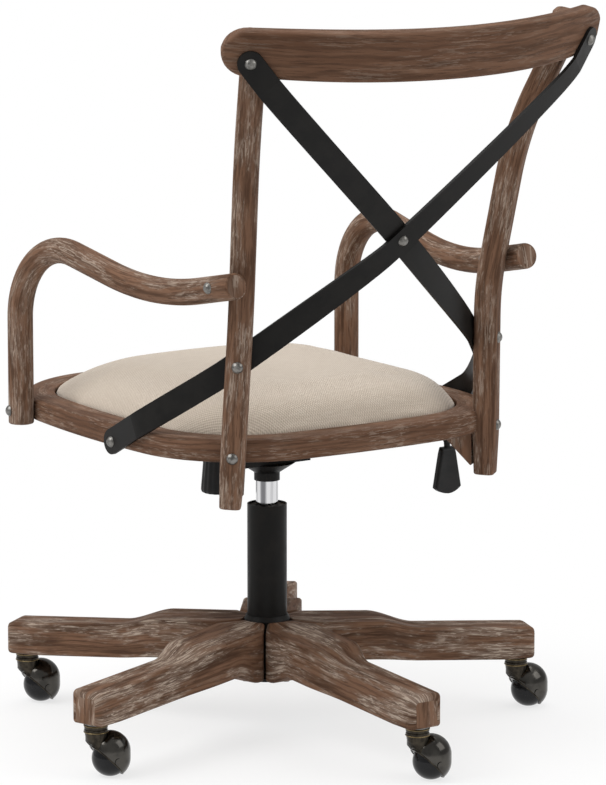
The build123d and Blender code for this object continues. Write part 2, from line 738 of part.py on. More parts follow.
piston_rod = rod(rod_radius, rod_end_z, piston_z) + rod(piston_radius, piston_z, piston_z + piston_height)
piston_rod += rod(bearing_diameter / 2, bearing_top_z + fit_gap, bearing_top_z + clip_height)
clip_bottom_z = rod_end_z + clip_setback
retaining_clip = rod(rod_radius + clip_width, clip_bottom_z, clip_bottom_z + clip_height) - rod(
    rod_radius, clip_bottom_z - past, clip_bottom_z + clip_height + past)
button_top_z = lever_z - lever_rod / 2 - button_stroke_room
valve_button = rod(button_diameter / 2, button_top_z - button_length, button_top_z)

# Base: sleeve with its flared flange, plate and screws under the hub
sleeve_radius = tube_radius + sleeve_wall
hub_sleeve = rod(sleeve_radius, hub_bottom_z, hub_top_z) + Pos(0, 0, hub_top_z) * Solid.make_cone(
    tube_radius + flange_overhang, tube_radius + sleeve_wall / 2, flange_height)
hub_sleeve -= rod(tube_radius, hub_bottom_z - past, hub_top_z + flange_height + past)
plate_low_z = hub_bottom_z - hub_plate_thickness
hub_plate = rod(hub_plate_radius, plate_low_z, hub_bottom_z)
hub_plate -= rod(rod_radius + clip_width + clip_setback, plate_low_z - past, hub_bottom_z + past)

# Legs: side and plan outlines with an ogee, mitred at the hub
mitre = math.radians(180 / leg_count)
half_leg = leg_width / 2
half_hub = leg_hub_width / 2
leg_root = sleeve_radius - leg_root_depth


def mitre_width(u):
    return u * math.tan(mitre) - mitre_gap / 2 / math.cos(mitre)


def ogee(start, end, fall=0):
    return Spline(start, end, tangents=[(1, -fall), (1, -fall)])


mitre_end = (half_hub + mitre_gap / 2 / math.cos(mitre)) / math.tan(mitre)
plan_edges = []
for side in (1, -1):
    plan_edges.append(Line((leg_root, side * mitre_width(leg_root)), (mitre_end, side * half_hub)))
    plan_edges.append(Line((mitre_end, side * half_hub), (ogee_inner, side * half_hub)))
    plan_edges.append(ogee((ogee_inner, side * half_hub), (ogee_outer, side * half_leg)))
    plan_edges.append(Line((ogee_outer, side * half_leg), (leg_tip_radius - leg_corner, side * half_leg)))
    corner = leg_corner * (1 - math.sqrt(0.5))
    plan_edges.append(ThreePointArc(
        (leg_tip_radius - leg_corner, side * half_leg),
        (leg_tip_radius - corner, side * (half_leg - corner)),
        (leg_tip_radius, side * (half_leg - leg_corner))))
plan_edges.append(Line((leg_root, -mitre_width(leg_root)), (leg_root, mitre_width(leg_root))))
plan_edges.append(Line((leg_tip_radius, leg_corner - half_leg), (leg_tip_radius, half_leg - leg_corner)))
leg_plan = make_face(Wire(plan_edges))
crown = leg_crown_round * (1 - math.sqrt(0.5))
crown_start = leg_tip_radius - leg_crown_round
flat_start = leg_tip_radius - leg_tip_flat
shoulder = (ogee_inner, hub_top_z - leg_fall * (ogee_inner - leg_root))
run_top = (ogee_outer, leg_tip_top_z + leg_fall * (crown_start - ogee_outer))
run_bottom = (ogee_outer, leg_tip_bottom_z + leg_fall * (flat_start - ogee_outer))
arch_end = (ogee_inner, leg_arch_z - leg_fall * (ogee_inner - boss_outer))
side_edges = [
    Line((leg_root, hub_bottom_z), (leg_root, hub_top_z)),
    Line((leg_root, hub_top_z), shoulder),
    ogee(shoulder, run_top, leg_fall),
    Line(run_top, (crown_start, leg_tip_top_z)),
    ThreePointArc(
        (crown_start, leg_tip_top_z),
        (leg_tip_radius - crown, leg_tip_top_z - crown),
        (leg_tip_radius, leg_tip_top_z - leg_crown_round)),
    Line((leg_tip_radius, leg_tip_top_z - leg_crown_round), (leg_tip_radius, leg_tip_bottom_z)),
    Line((leg_tip_radius, leg_tip_bottom_z), (flat_start, leg_tip_bottom_z)),
    Line((flat_start, leg_tip_bottom_z), run_bottom),
    ogee(arch_end, run_bottom, leg_fall),
    Line(arch_end, (boss_outer, leg_arch_z)),
    ogee((boss_inner, hub_bottom_z), (boss_outer, leg_arch_z)),
    Line((boss_inner, hub_bottom_z), (leg_root, hub_bottom_z)),
]
leg_side = make_face(Plane.XZ * Wire(side_edges))
leg_blank = extrude(leg_plan, 2 * hub_top_z) & extrude(leg_side, leg_hub_width, both=True)
leg_blank -= rod(sleeve_radius, 0, 2 * hub_top_z)

# Caster socket, drawn under a leg that runs along +X
stem_radius = stem_diameter / 2
socket_radius = stem_radius + fit_gap + socket_wall
socket_top_z = leg_tip_bottom_z + stem_length
flange_bottom_z = leg_tip_bottom_z - socket_flange_height
socket_outer = rod(socket_radius, flange_bottom_z, socket_top_z, caster_pitch)
socket = socket_outer + rod(socket_flange / 2, flange_bottom_z, leg_tip_bottom_z, caster_pitch)
socket -= rod(stem_radius + fit_gap, flange_bottom_z - past, socket_top_z - socket_cap, caster_pitch)
hub_screw = rod(hub_screw_head / 2, plate_low_z - hub_screw_head_height, plate_low_z, hub_screw_radius)
hub_screw += rod(
    hub_screw_shank / 2, plate_low_z - hub_screw_head_height, plate_low_z + hub_screw_length,
    hub_screw_radius)
leg = leg_blank - socket_outer - hub_screw

# Caster, drawn with its stem on the Z axis and trailing towards +Y
ball_radius = ball_diameter / 2
ball_centre = Vector(0, caster_trail, ball_radius)
shell_inner = ball_radius + ball_gap
shell_outer = shell_inner + hood_wall
collar_high_z = flange_bottom_z - swivel_gap
collar_low_z = collar_high_z - collar_height
groove_z = (collar_low_z + collar_high_z) / 2
hood_axis = Vector(0, 1, 1).normalized()
hood_half = Plane(origin=ball_centre - hood_axis * hood_rim, z_dir=hood_axis).location * (
    Pos(0, 0, shell_outer) * Box(4 * shell_outer, 4 * shell_outer, 2 * shell_outer))
hood = Pos(*ball_centre) * Sphere(shell_outer)
hood += rod(shell_outer, ball_radius, ball_radius + hood_rise, 0, caster_trail)
hood += Pos(0, caster_trail, ball_radius + hood_rise) * Sphere(shell_outer)
hood &= hood_half
hood += rod(neck_diameter / 2, neck_bottom_z, groove_z)
hood += rod(collar_diameter / 2, collar_low_z, groove_z - collar_groove / 2)
hood += rod(collar_diameter / 2 - collar_groove, collar_low_z, collar_high_z)
hood += rod(collar_diameter / 2, groove_z + collar_groove / 2, collar_high_z)
hood += rod(stem_radius, groove_z, socket_top_z - socket_cap - swivel_gap)
hood -= Pos(*ball_centre) * Sphere(shell_inner)
axle_place = Plane(origin=ball_centre, z_dir=(1, 0, 0)).location
axle_half = shell_outer + axle_head_height
axle = axle_place * (Cylinder(axle_diameter / 2, 2 * axle_half))
for side in (1, -1):
    axle += axle_place * (Pos(0, 0, side * (shell_outer + axle_head_height / 2)) * Cylinder(
        axle_head / 2, axle_head_height))
hood -= axle
ball = axle_place * (Sphere(ball_radius) - Cylinder(axle_diameter / 2 + fit_gap, 2 * ball_radius + past))

sockets = []
hub_screws = []
for index in range(leg_count):
    turn = base_turn + index * 360 / leg_count
    stem = bearing_vector(turn) * caster_pitch
    leg_turn = Rot(0, 0, 90 - turn)
    caster_turn = Pos(stem.X, stem.Y, 0) * Rot(0, 0, -caster_heading)
    save(f"base_leg_{index + 1}", leg_turn * leg)
    save(f"caster_hood_{index + 1}", caster_turn * hood)
    save(f"caster_axle_{index + 1}", caster_turn * axle)
    save(f"caster_ball_{index + 1}", caster_turn * ball)
    sockets.append(leg_turn * socket)
    hub_screws.append(leg_turn * hub_screw)
for screw in hub_screws:
    hub_plate -= screw

save("caster_sockets", Compound(children=sockets))
save("hub_screws", Compound(children=hub_screws))
save("hub_plate", hub_plate)
save("hub_sleeve", hub_sleeve)
save("column_tube", column_tube)
save("guide_bush", guide_bush)
save("thrust_bearing", thrust_bearing)
save("retaining_clip", retaining_clip)
save("piston_rod", piston_rod)
save("gas_cylinder", gas_cylinder)
save("valve_button", valve_button)
save("mechanism_housing", mechanism_housing)
save("tilt_pin", tilt_pin)
save("tilt_spring", tilt_spring)
save("seat_plate", seat_plate)
save("plate_screws", Compound(children=plate_screws))
save("tension_knob", tension_knob)
save("tension_screw", tension_screw)
save("tension_nut", tension_nut)
save("lever_bar", lever_bar)
save("lever_paddle", lever_paddle)
save("lock_slider", lock_slider)
save("seat_frame", seat_frame)
save("seat_board", seat_board)
save("seat_cushion", seat_cushion)
save("top_rail", top_rail)
save("strap_a", strap_a)
save("strap_b", strap_b)
save("gussets", Compound(children=[gusset, mirrored(gusset)]))
save("post_left", post)
save("post_right", mirrored(post))
save("arm_left", arm)
save("arm_right", mirrored(arm))
for name, bolt in bolts.items():
    solid = domed_bolt(*bolt)
    if name == "cross_bolt":
        save(name, solid)
    else:
        save(name, Compound(children=[solid, mirrored(solid)]))
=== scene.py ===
import math

import bmesh
import bpy
from mathutils import Matrix, Vector


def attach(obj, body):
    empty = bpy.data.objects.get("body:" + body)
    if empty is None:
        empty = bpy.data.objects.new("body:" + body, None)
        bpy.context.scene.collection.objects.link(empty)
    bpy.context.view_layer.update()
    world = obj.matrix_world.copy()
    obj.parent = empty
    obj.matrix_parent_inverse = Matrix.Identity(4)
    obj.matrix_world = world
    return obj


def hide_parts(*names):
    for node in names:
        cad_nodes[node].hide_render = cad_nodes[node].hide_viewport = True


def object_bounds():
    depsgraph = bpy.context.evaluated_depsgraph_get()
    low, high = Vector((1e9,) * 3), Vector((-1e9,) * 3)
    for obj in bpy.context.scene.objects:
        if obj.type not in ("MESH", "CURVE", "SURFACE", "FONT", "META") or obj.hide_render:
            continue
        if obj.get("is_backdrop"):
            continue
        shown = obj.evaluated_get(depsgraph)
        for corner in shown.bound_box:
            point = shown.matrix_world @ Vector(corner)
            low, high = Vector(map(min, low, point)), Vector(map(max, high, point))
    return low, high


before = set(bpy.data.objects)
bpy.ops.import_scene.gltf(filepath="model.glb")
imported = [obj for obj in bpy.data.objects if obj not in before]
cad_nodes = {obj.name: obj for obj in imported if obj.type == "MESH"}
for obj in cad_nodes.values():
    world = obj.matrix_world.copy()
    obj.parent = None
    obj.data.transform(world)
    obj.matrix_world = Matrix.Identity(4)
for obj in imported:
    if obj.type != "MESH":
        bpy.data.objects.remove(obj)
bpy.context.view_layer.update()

# Base legs
# Five sawn legs of brushed and limed oak, mitred round the column with an open dark joint between them.
# Each steps down in an ogee from the hub to a level tip and is screwed up from a plate under the hub.
mm = 0.001
up_axis = Vector((0, 0, 1))
leg_count = 5
leg_tip = 351 * mm
leg_half = 23.5 * mm
hub_half = 38 * mm
base_turn = 0.95
hub_top = 138.5 * mm
hub_bottom = 71 * mm
leg_arch = 85 * mm
boss_inner = 60 * mm
boss_outer = 105 * mm
tip_top = 109.5 * mm
tip_bottom = 68.5 * mm
tip_flat = 40 * mm
leg_fall = 0.055
ogee_start = 140 * mm
ogee_end = 198 * mm
mitre_gap = 3 * mm
leg_root = 27 * mm
leg_edge = 4 * mm
tip_corner = 8 * mm
tip_crown = 7 * mm
leg_steps = 80
tip_steps = 6
leg_grain_shift = 1.7


def new_node(tree, kind, **settings):
    """Adds a shader node and sets its properties, or its inputs where a name is a socket's."""
    node = tree.nodes.new(kind)
    for name, value in settings.items():
        label = name.replace("_", " ").title()
        if hasattr(node, name):
            setattr(node, name, value)
        else:
            node.inputs[label].default_value = value
    return node


def new_group(name, inputs, outputs):
    """Empty shader group with named sockets, its input node and its output node."""
    tree = bpy.data.node_groups.new(name, "ShaderNodeTree")
    for label, kind in inputs:
        tree.interface.new_socket(label, in_out="INPUT", socket_type=kind)
    for label, kind in outputs:
        tree.interface.new_socket(label, in_out="OUTPUT", socket_type=kind)
    return tree, tree.nodes.new("NodeGroupInput"), tree.nodes.new("NodeGroupOutput")


def stretched(tree, vector, factors, offsets):
    """Place on the surface, stretched and shifted along each axis."""
    node = new_node(tree, "ShaderNodeVectorMath", operation="MULTIPLY_ADD")
    tree.links.new(vector, node.inputs[0])
    node.inputs[1].default_value = factors
    node.inputs[2].default_value = offsets
    return node.outputs[0]


def stretched_noise(tree, vector, along, across, detail, offset=0.0):
    """Noise drawn out along the grain: how fast it changes along and across it, per metre."""
    noise = new_node(tree, "ShaderNodeTexNoise", scale=1.0, detail=detail, roughness=0.6)
    place = stretched(tree, vector, (along, across, across), (offset, offset, offset))
    tree.links.new(place, noise.inputs["Vector"])
    return noise.outputs["Fac"]


def mapped(tree, value, low, high, to_low=0.0, to_high=1.0):
    """Value stretched from one range to another with soft ends."""
    node = new_node(tree, "ShaderNodeMapRange", interpolation_type="SMOOTHSTEP")
    tree.links.new(value, node.inputs["Value"])
    for label, number in (("From Min", low), ("From Max", high), ("To Min", to_low), ("To Max", to_high)):
        node.inputs[label].default_value = number
    return node.outputs[0]


def reckoned(tree, operation, *values):
    """Result of a sum on masks or plain numbers."""
    node = new_node(tree, "ShaderNodeMath", operation=operation)
    for socket, value in zip(node.inputs, values):
        if isinstance(value, float):
            socket.default_value = value
        else:
            tree.links.new(value, socket)
    return node.outputs[0]


def times(tree, first, second):
    return reckoned(tree, "MULTIPLY", first, second)


def blended(tree, mask, first, second):
    """Colour that goes from the first to the second as the mask goes from 0 to 1."""
    node = new_node(tree, "ShaderNodeMix", data_type="RGBA")
    tree.links.new(mask, node.inputs["Factor"])
    for socket, colour in ((node.inputs[6], first), (node.inputs[7], second)):
        if isinstance(colour, tuple):
            socket.default_value = (*colour, 1.0)
        else:
            tree.links.new(colour, socket)
    return node.outputs[2]


oak_deep = (0.070, 0.036, 0.021)
oak_brown = (0.196, 0.106, 0.064)
oak_red = (0.118, 0.058, 0.033)
oak_grey = (0.240, 0.176, 0.136)
oak_lime = (0.440, 0.355, 0.285)


def oak_grain():
    """Brushed oak from grain coordinates: tone, growth rings, dark pores and pale lime left in the pores."""
    tree, entry, leave = new_group(
        "oak_grain",
        [
            ("Grain", "NodeSocketVector"), ("Scale", "NodeSocketFloat"),
            ("Lime", "NodeSocketFloat"), ("Warmth", "NodeSocketFloat"),
        ],
        [("Color", "NodeSocketColor"), ("Roughness", "NodeSocketFloat"), ("Height", "NodeSocketFloat")],
    )
    sized = new_node(tree, "ShaderNodeVectorMath", operation="SCALE")
    tree.links.new(entry.outputs["Grain"], sized.inputs[0])
    tree.links.new(entry.outputs["Scale"], sized.inputs["Scale"])
    grain = sized.outputs[0]
    tone = stretched_noise(tree, grain, 7, 95, 6)
    warm = stretched_noise(tree, grain, 3.5, 24, 3, 7.3)
    rings = new_node(tree, "ShaderNodeTexWave", wave_type="RINGS", rings_direction="X", scale=42.0)
    rings.inputs["Distortion"].default_value = 7.0
    rings.inputs["Detail"].default_value = 3.0
    rings.inputs["Detail Scale"].default_value = 0.7
    heart = stretched(tree, grain, (0.35, 1, 1), (0.0, 0.031, 0.047))
    tree.links.new(heart, rings.inputs["Vector"])
    streak = stretched_noise(tree, grain, 24, 430, 4, 3.1)
    fleck = stretched_noise(tree, grain, 60, 460, 5, 11.0)
    patch = stretched_noise(tree, grain, 11, 46, 4, 5.7)
    pore = stretched_noise(tree, grain, 28, 540, 3, 19.0)
    colour = blended(tree, mapped(tree, tone, 0.33, 0.57), oak_deep, oak_brown)
    greying = times(tree, mapped(tree, patch, 0.42, 0.62), entry.outputs["Lime"])
    colour = blended(tree, times(tree, greying, 0.8), colour, oak_grey)
    warming = times(tree, mapped(tree, warm, 0.30, 0.62), entry.outputs["Warmth"])
    colour = blended(tree, warming, colour, oak_red)
    ring_mask = times(tree, mapped(tree, rings.outputs["Fac"], 0.55, 0.95), 0.45)
    colour = blended(tree, ring_mask, colour, oak_deep)
    pore_mask = mapped(tree, pore, 0.55, 0.64)
    colour = blended(tree, times(tree, pore_mask, 0.7), colour, oak_deep)
    long_lime = times(tree, mapped(tree, streak, 0.535, 0.60), mapped(tree, patch, 0.46, 0.62))
    short_lime = times(tree, mapped(tree, fleck, 0.545, 0.60), mapped(tree, patch, 0.42, 0.60))
    lime_mask = times(tree, reckoned(tree, "MAXIMUM", long_lime, short_lime), entry.outputs["Lime"])
    colour = blended(tree, lime_mask, colour, oak_lime)
    tree.links.new(colour, leave.inputs["Color"])
    tree.links.new(mapped(tree, tone, 0.3, 0.7, 0.72, 0.56), leave.inputs["Roughness"])
    tree.links.new(reckoned(tree, "SUBTRACT", tone, pore_mask), leave.inputs["Height"])
    return tree


oak_group = oak_grain()


def new_material(name):
    """Material with a Principled shader, and its node tree."""
    material = bpy.data.materials.new(name)
    material.use_nodes = True
    return material, material.node_tree, material.node_tree.nodes["Principled BSDF"]


def bumped(tree, shader, height, distance, strength):
    """Raises a shader's surface by a height mask."""
    bump = new_node(tree, "ShaderNodeBump", distance=distance, strength=strength)
    tree.links.new(height, bump.inputs["Height"])
    tree.links.new(bump.outputs["Normal"], shader.inputs["Normal"])


def oak_material(name, scale, lime, warmth):
    """Oak of one piece: size of its figure, share of lime in the pores and share of red tone."""
    material, tree, shader = new_material(name)
    coordinates = new_node(tree, "ShaderNodeAttribute", attribute_name="grain")
    wood = new_node(tree, "ShaderNodeGroup", node_tree=oak_group)
    for label, number in (("Scale", scale), ("Lime", lime), ("Warmth", warmth)):
        wood.inputs[label].default_value = number
    tree.links.new(coordinates.outputs["Vector"], wood.inputs["Grain"])
    tree.links.new(wood.outputs["Color"], shader.inputs["Base Color"])
    tree.links.new(wood.outputs["Roughness"], shader.inputs["Roughness"])
    shader.inputs["Specular IOR Level"].default_value = 0.12
    bumped(tree, shader, wood.outputs["Height"], 0.6 * mm, 0.5)
    return material


def rounded_box(half, low, high, corner, flat=5, turn=5):
    """Outline of a rounded rectangle, once round, with points along its flats too."""
    arcs = []
    for x, y, start in (
        (half - corner, high - corner, 0),
        (corner - half, high - corner, 90),
        (corner - half, low + corner, 180),
        (half - corner, low + corner, 270),
    ):
        angles = [math.radians(start + 90 * k / (turn - 1)) for k in range(turn)]
        arcs.append([(x + corner * math.cos(a), y + corner * math.sin(a)) for a in angles])
    outline = []
    for corner_arc, following in zip(arcs, arcs[1:] + arcs[:1]):
        outline += corner_arc
        (x0, y0), (x1, y1) = corner_arc[-1], following[0]
        for k in range(1, flat):
            outline.append((x0 + (x1 - x0) * k / flat, y0 + (y1 - y0) * k / flat))
    return outline


def bar(mesh, stations, shift, closed=False, grain_half=None):
    """Skin over sections of a wooden bar; each face corner keeps its place along and across the grain.

    A station is a centre, the section's two directions, its outline and its distance along the bar.
    With a grain half size, the grain follows a changing section as if it were always that big.
    """
    grain = mesh.loops.layers.float_vector.get("grain") or mesh.loops.layers.float_vector.new("grain")
    rings = []
    for centre, side, rise, outline, along in stations:
        verts = [mesh.verts.new(centre + side * x + rise * y) for x, y in outline]
        spots = [(along + shift, x, y) for x, y in outline]
        if grain_half:
            right = max(x for x, y in outline)
            low = min(y for x, y in outline)
            scale = 2 * grain_half / (max(y for x, y in outline) - low)
            spots = [(along + shift, x * grain_half / right, (y - low) * scale) for x, y in outline]
        rings.append((verts, spots))
    if closed:
        first, last = stations[0], stations[-1]
        length = last[4] + (first[0] - last[0]).length
        rings.append((rings[0][0], [(length + shift, x, y) for x, y in first[3]]))
    for (verts, spots), (next_verts, next_spots) in zip(rings, rings[1:]):
        for i in range(len(verts)):
            face = mesh.faces.new((verts[i - 1], verts[i], next_verts[i], next_verts[i - 1]))
            for loop, spot in zip(face.loops, (spots[i - 1], spots[i], next_spots[i], next_spots[i - 1])):
                loop[grain] = spot
    if not closed:
        for verts, spots, order in ((*rings[0], -1), (*rings[-1], 1)):
            face = mesh.faces.new(verts[::order])
            for loop, (along, x, y) in zip(face.loops, spots[::order]):
                loop[grain] = (along + y / 2, x / 3, 0)


def piece(name, mesh, body, material, slot, *replaced):
    """Object made of a mesh that rides on a body with its finish, and stands for the CAD nodes named."""
    bmesh.ops.recalc_face_normals(mesh, faces=mesh.faces)
    data = bpy.data.meshes.new(name)
    mesh.to_mesh(data)
    mesh.free()
    data.polygons.foreach_set("use_smooth", [True] * len(data.polygons))
    data.materials.append(material)
    thing = bpy.data.objects.new(name, data)
    bpy.context.scene.collection.objects.link(thing)
    weighted = thing.modifiers.new("weighted_normals", "WEIGHTED_NORMAL")
    weighted.weight = 60
    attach(thing, body)
    if replaced:
        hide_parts(*replaced)
    return thing


def heading(degrees):
    """Unit vector in plan, from +Y towards +X."""
    return Vector((math.sin(math.radians(degrees)), math.cos(math.radians(degrees)), 0))


def eased(share):
    """Share of a way from 0 to 1, slow at both ends."""
    return share * share * (3 - 2 * share)


def run(start, end, distance):
    """Height on an S-curve between two (distance, height) points, held level before and after it."""
    share = eased(min(max((distance - start[0]) / (end[0] - start[0]), 0), 1))
    return start[1] + (end[1] - start[1]) * share


def leg_section(distance):
    """Half width, bottom and top of a leg at a distance from the column's axis."""
    half = run((ogee_start, hub_half), (ogee_end, leg_half), distance)
    mitre = math.radians(180 / leg_count)
    half = min(half, distance * math.tan(mitre) - mitre_gap / 2 / math.cos(mitre))
    fall = leg_fall * (distance - leg_root)
    shoulder = (ogee_start, hub_top)
    top = run(shoulder, (ogee_end, tip_top + leg_fall * (leg_tip - leg_root)), distance) - fall
    low = hub_bottom
    if distance > boss_inner:
        sag = leg_fall * (min(distance, leg_tip - tip_flat) - leg_tip + tip_flat)
        arch = leg_arch - leg_fall * (leg_tip - tip_flat - boss_outer)
        low = run((ogee_start, arch), (ogee_end, tip_bottom), distance) - sag
    if boss_inner < distance < boss_outer:
        low = run((boss_inner, hub_bottom), (boss_outer, leg_arch), distance)
    return half, low, top


leg_oak = oak_material("limed_oak_legs", 1.1, 1.0, 0.0)
leg_places = [leg_root + (leg_tip - tip_corner - leg_root) * k / leg_steps for k in range(leg_steps + 1)]
tip_turns = [math.radians(90 * k / tip_steps) for k in range(1, tip_steps + 1)]
for number in range(leg_count):
    along = heading(base_turn + 360 / leg_count * number)
    side = along.cross(up_axis)
    stations = []
    for distance in leg_places:
        half, low, high = leg_section(distance)
        stations.append((along * distance, side, up_axis, rounded_box(half, low, high, leg_edge), distance))
    half, low, high = leg_section(leg_tip)
    for turn in tip_turns:
        distance = leg_tip - tip_corner * (1 - math.sin(turn))
        inset = tip_corner * (1 - math.cos(turn))
        drop = tip_crown * (1 - math.cos(turn))
        outline = rounded_box(half - inset, low + inset / 3, high - drop, leg_edge)
        stations.append((along * distance, side, up_axis, outline, distance))
    leg_mesh = bmesh.new()
    bar(leg_mesh, stations, leg_grain_shift * number, grain_half=leg_half)
    piece(f"leg_{number + 1}", leg_mesh, "base", leg_oak, "oak", f"base_leg_{number + 1}")


def surface_mottle():
    """Faint uneven patches for metal and plastic: a value and a fine height."""
    tree, entry, leave = new_group(
        "surface_mottle",
        [("Patch", "NodeSocketFloat"), ("Speck", "NodeSocketFloat")],
        [("Value", "NodeSocketFloat"), ("Height", "NodeSocketFloat")],
    )
    place = tree.nodes.new("ShaderNodeTexCoord")
    for label, output, detail in (("Patch", "Value", 4.0), ("Speck", "Height", 2.0)):
        noise = new_node(tree, "ShaderNodeTexNoise", detail=detail)
        tree.links.new(place.outputs["Object"], noise.inputs["Vector"])
        tree.links.new(entry.outputs[label], noise.inputs["Scale"])
        tree.links.new(noise.outputs["Fac"], leave.inputs[output])
    return tree


mottle_group = surface_mottle()


def coated(name, dark, light, rough, metallic, patch=40.0, speck=1200.0, grain=0.15, shine=0.5):
    """Metal or plastic whose colour and roughness drift between two values over its surface."""
    material, tree, shader = new_material(name)
    mottle = new_node(tree, "ShaderNodeGroup", node_tree=mottle_group)
    mottle.inputs["Patch"].default_value = patch
    mottle.inputs["Speck"].default_value = speck
    value = mapped(tree, mottle.outputs["Value"], 0.35, 0.65)
    tree.links.new(blended(tree, value, dark, light), shader.inputs["Base Color"])
    tree.links.new(mapped(tree, mottle.outputs["Value"], 0.3, 0.7, *rough), shader.inputs["Roughness"])
    shader.inputs["Metallic"].default_value = metallic
    shader.inputs["Specular IOR Level"].default_value = shine
    bumped(tree, shader, mottle.outputs["Height"], 0.1 * mm, grain)
    return material


def finish_nodes(material, *names):
    """Gives CAD nodes that stay as they are a finish."""
    for name in names:
        for slot in cad_nodes[name].material_slots:
            slot.material = material


black_steel = coated(
    "satin_black_steel", (0.0065, 0.006, 0.0055), (0.011, 0.010, 0.009), (0.42, 0.52), 0.0, shine=0.16)
zinc = coated("zinc_plate", (0.14, 0.135, 0.125), (0.26, 0.25, 0.235), (0.32, 0.46), 1.0, 220.0)
finish_nodes(black_steel, "hub_sleeve", "hub_plate")
finish_nodes(zinc, "hub_screws", "caster_sockets")

# Casters
# Each has a pressed hood with a rolled rim, a ringed collar and a stem, plated dark bronze and rubbed brassy
# on the collar's edges. A gloss black ball turns in it on a riveted axle.
caster_pitch = 331.6 * mm
caster_trail = 18.5 * mm
caster_heading = -82
ball_radius = 22.5 * mm
hood_inner = 23.1 * mm
hood_outer = 25.1 * mm
hood_rise = 9 * mm
hood_rim = 5 * mm
rim_bead = 0.9 * mm
collar_top = 66.6 * mm
collar_bottom = 56.6 * mm
collar_radius = 14.5 * mm
neck_radius = 13 * mm
stem_radius = 5.5 * mm
stem_top = 98 * mm
groove = 1.2 * mm
ring_wire = 0.7 * mm
ring_inset = 1 * mm
collar_edge = 0.6 * mm
neck_inside = 48 * mm
nub_radius = 3 * mm
nub_top_radius = 2.2 * mm
nub_shoulder = 1.4 * mm
nub_height = 1.9 * mm
nub_sink = 0.5 * mm
hood_steps = 26
hood_segments = 56


def turned(mesh, profile, place, segments=40):
    """Adds a closed lathe form: profile points (radius, height) about the Z axis of a placing matrix.

    The profile may also be a function that gives the points for each turn round the axis.
    """
    columns = []
    for k in range(segments):
        turn = math.tau * k / segments
        points = profile(turn) if callable(profile) else profile
        columns.append([Vector((r * math.cos(turn), r * math.sin(turn), h)) for r, h in points])
    rings = []
    for ring in zip(*columns):
        on_axis = ring[0].xy.length < 1e-6
        rings.append([mesh.verts.new(place @ point) for point in (ring[:1] if on_axis else ring)])
    for ring, following in zip(rings, rings[1:] + rings[:1]):
        for k in range(segments):
            corners = [ring[k - 1], ring[k]] if len(ring) > 1 else [ring[0]]
            corners += [following[k], following[k - 1]] if len(following) > 1 else [following[0]]
            if len(corners) > 2:
                mesh.faces.new(corners)


def arc(radius, first, last, steps, centre=(0.0, 0.0)):
    """Profile points on an arc, by the angle in degrees from the Z axis."""
    points = []
    for k in range(steps + 1):
        angle = math.radians(first + (last - first) * k / steps)
        points.append((centre[0] + radius * math.sin(angle), centre[1] + radius * math.cos(angle)))
    return points


gunmetal = coated("gunmetal_plate", (0.050, 0.047, 0.043), (0.084, 0.079, 0.071), (0.15, 0.24), 1.0, 60.0)
dark_collar = coated("bronzed_collar", (0.026, 0.022, 0.017), (0.056, 0.047, 0.035), (0.26, 0.38), 0.9, 150.0)
brass_rub = coated("rubbed_brass", (0.17, 0.125, 0.06), (0.30, 0.23, 0.12), (0.26, 0.38), 1.0, 150.0)
ball_black = coated(
    "gloss_black_ball", (0.005, 0.005, 0.006), (0.009, 0.009, 0.010), (0.08, 0.14), 0.0, shine=0.28)
trail_way = heading(caster_heading)
hood_axis = (trail_way + up_axis).normalized()
hood_turn = hood_axis.to_track_quat("Z", "Y").to_matrix()


def hood_reach(way):
    """Distance from the ball's centre to the hood's outside, a ball drawn out upwards, along a direction."""
    level = way.xy.length
    if way.z <= 0:
        return hood_outer
    if hood_outer * way.z <= hood_rise * level:
        return hood_outer / level
    return hood_rise * way.z + math.sqrt(hood_outer ** 2 - (hood_rise * level) ** 2)


def hood_profile(spin):
    """Hood from its crown over the outside to a rolled rim on a slant, and back inside to the crown."""
    radial = hood_turn @ Vector((math.cos(spin), math.sin(spin), 0))
    points = []
    rim = math.radians(100)
    for settle in range(5):
        reach = hood_reach(hood_axis * math.cos(rim) + radial * math.sin(rim))
        rim = math.pi / 2 + math.asin(hood_rim / reach)
    for k in range(hood_steps + 1):
        angle = rim * k / hood_steps
        reach = hood_reach(hood_axis * math.cos(angle) + radial * math.sin(angle))
        points.append((reach * math.sin(angle), reach * math.cos(angle)))
    rim_inside = 90 + math.degrees(math.asin(hood_rim / hood_inner))
    return points + arc(hood_inner, rim_inside, 0, 18)


def wire(radius, centre):
    """Round section of a wire, as profile points."""
    return arc(radius, 0, 330, 11, centre)


def rim_profile(spin):
    """Rolled wire round the hood's slanted rim."""
    edge, level = hood_profile(spin)[hood_steps]
    return wire(rim_bead, (edge - rim_bead * 0.5, level))


def neck_foot(spin):
    """Height at which the neck ends: on the rim's slant, or just above the ball."""
    spot = Vector((math.cos(spin), math.sin(spin), 0)) * neck_radius - trail_way * caster_trail
    slant = ball_radius - hood_rim * math.sqrt(2) - spot.dot(trail_way)
    above_ball = ball_radius + math.sqrt(max(hood_inner ** 2 - spot.length_squared, 0))
    return max(slant, above_ball)


collar_middle = (collar_top + collar_bottom) / 2
collar_profile = []
for low, high in ((collar_bottom, collar_middle - groove / 2), (collar_middle + groove / 2, collar_top)):
    collar_profile += [(collar_radius - collar_edge, low), (collar_radius, low + collar_edge)]
    collar_profile += [(collar_radius, high - collar_edge), (collar_radius - collar_edge, high)]
    collar_profile += [(collar_radius - groove, high)]
collar_profile += [(stem_radius, collar_top), (stem_radius, stem_top), (0.0, stem_top)]


def neck_profile(spin):
    """Neck from its slanted foot up into the ringed collar and the stem."""
    foot = neck_foot(spin)
    middle = (foot + collar_bottom) / 2
    return [(0.0, neck_inside), (neck_radius, foot), (neck_radius, middle)] + collar_profile


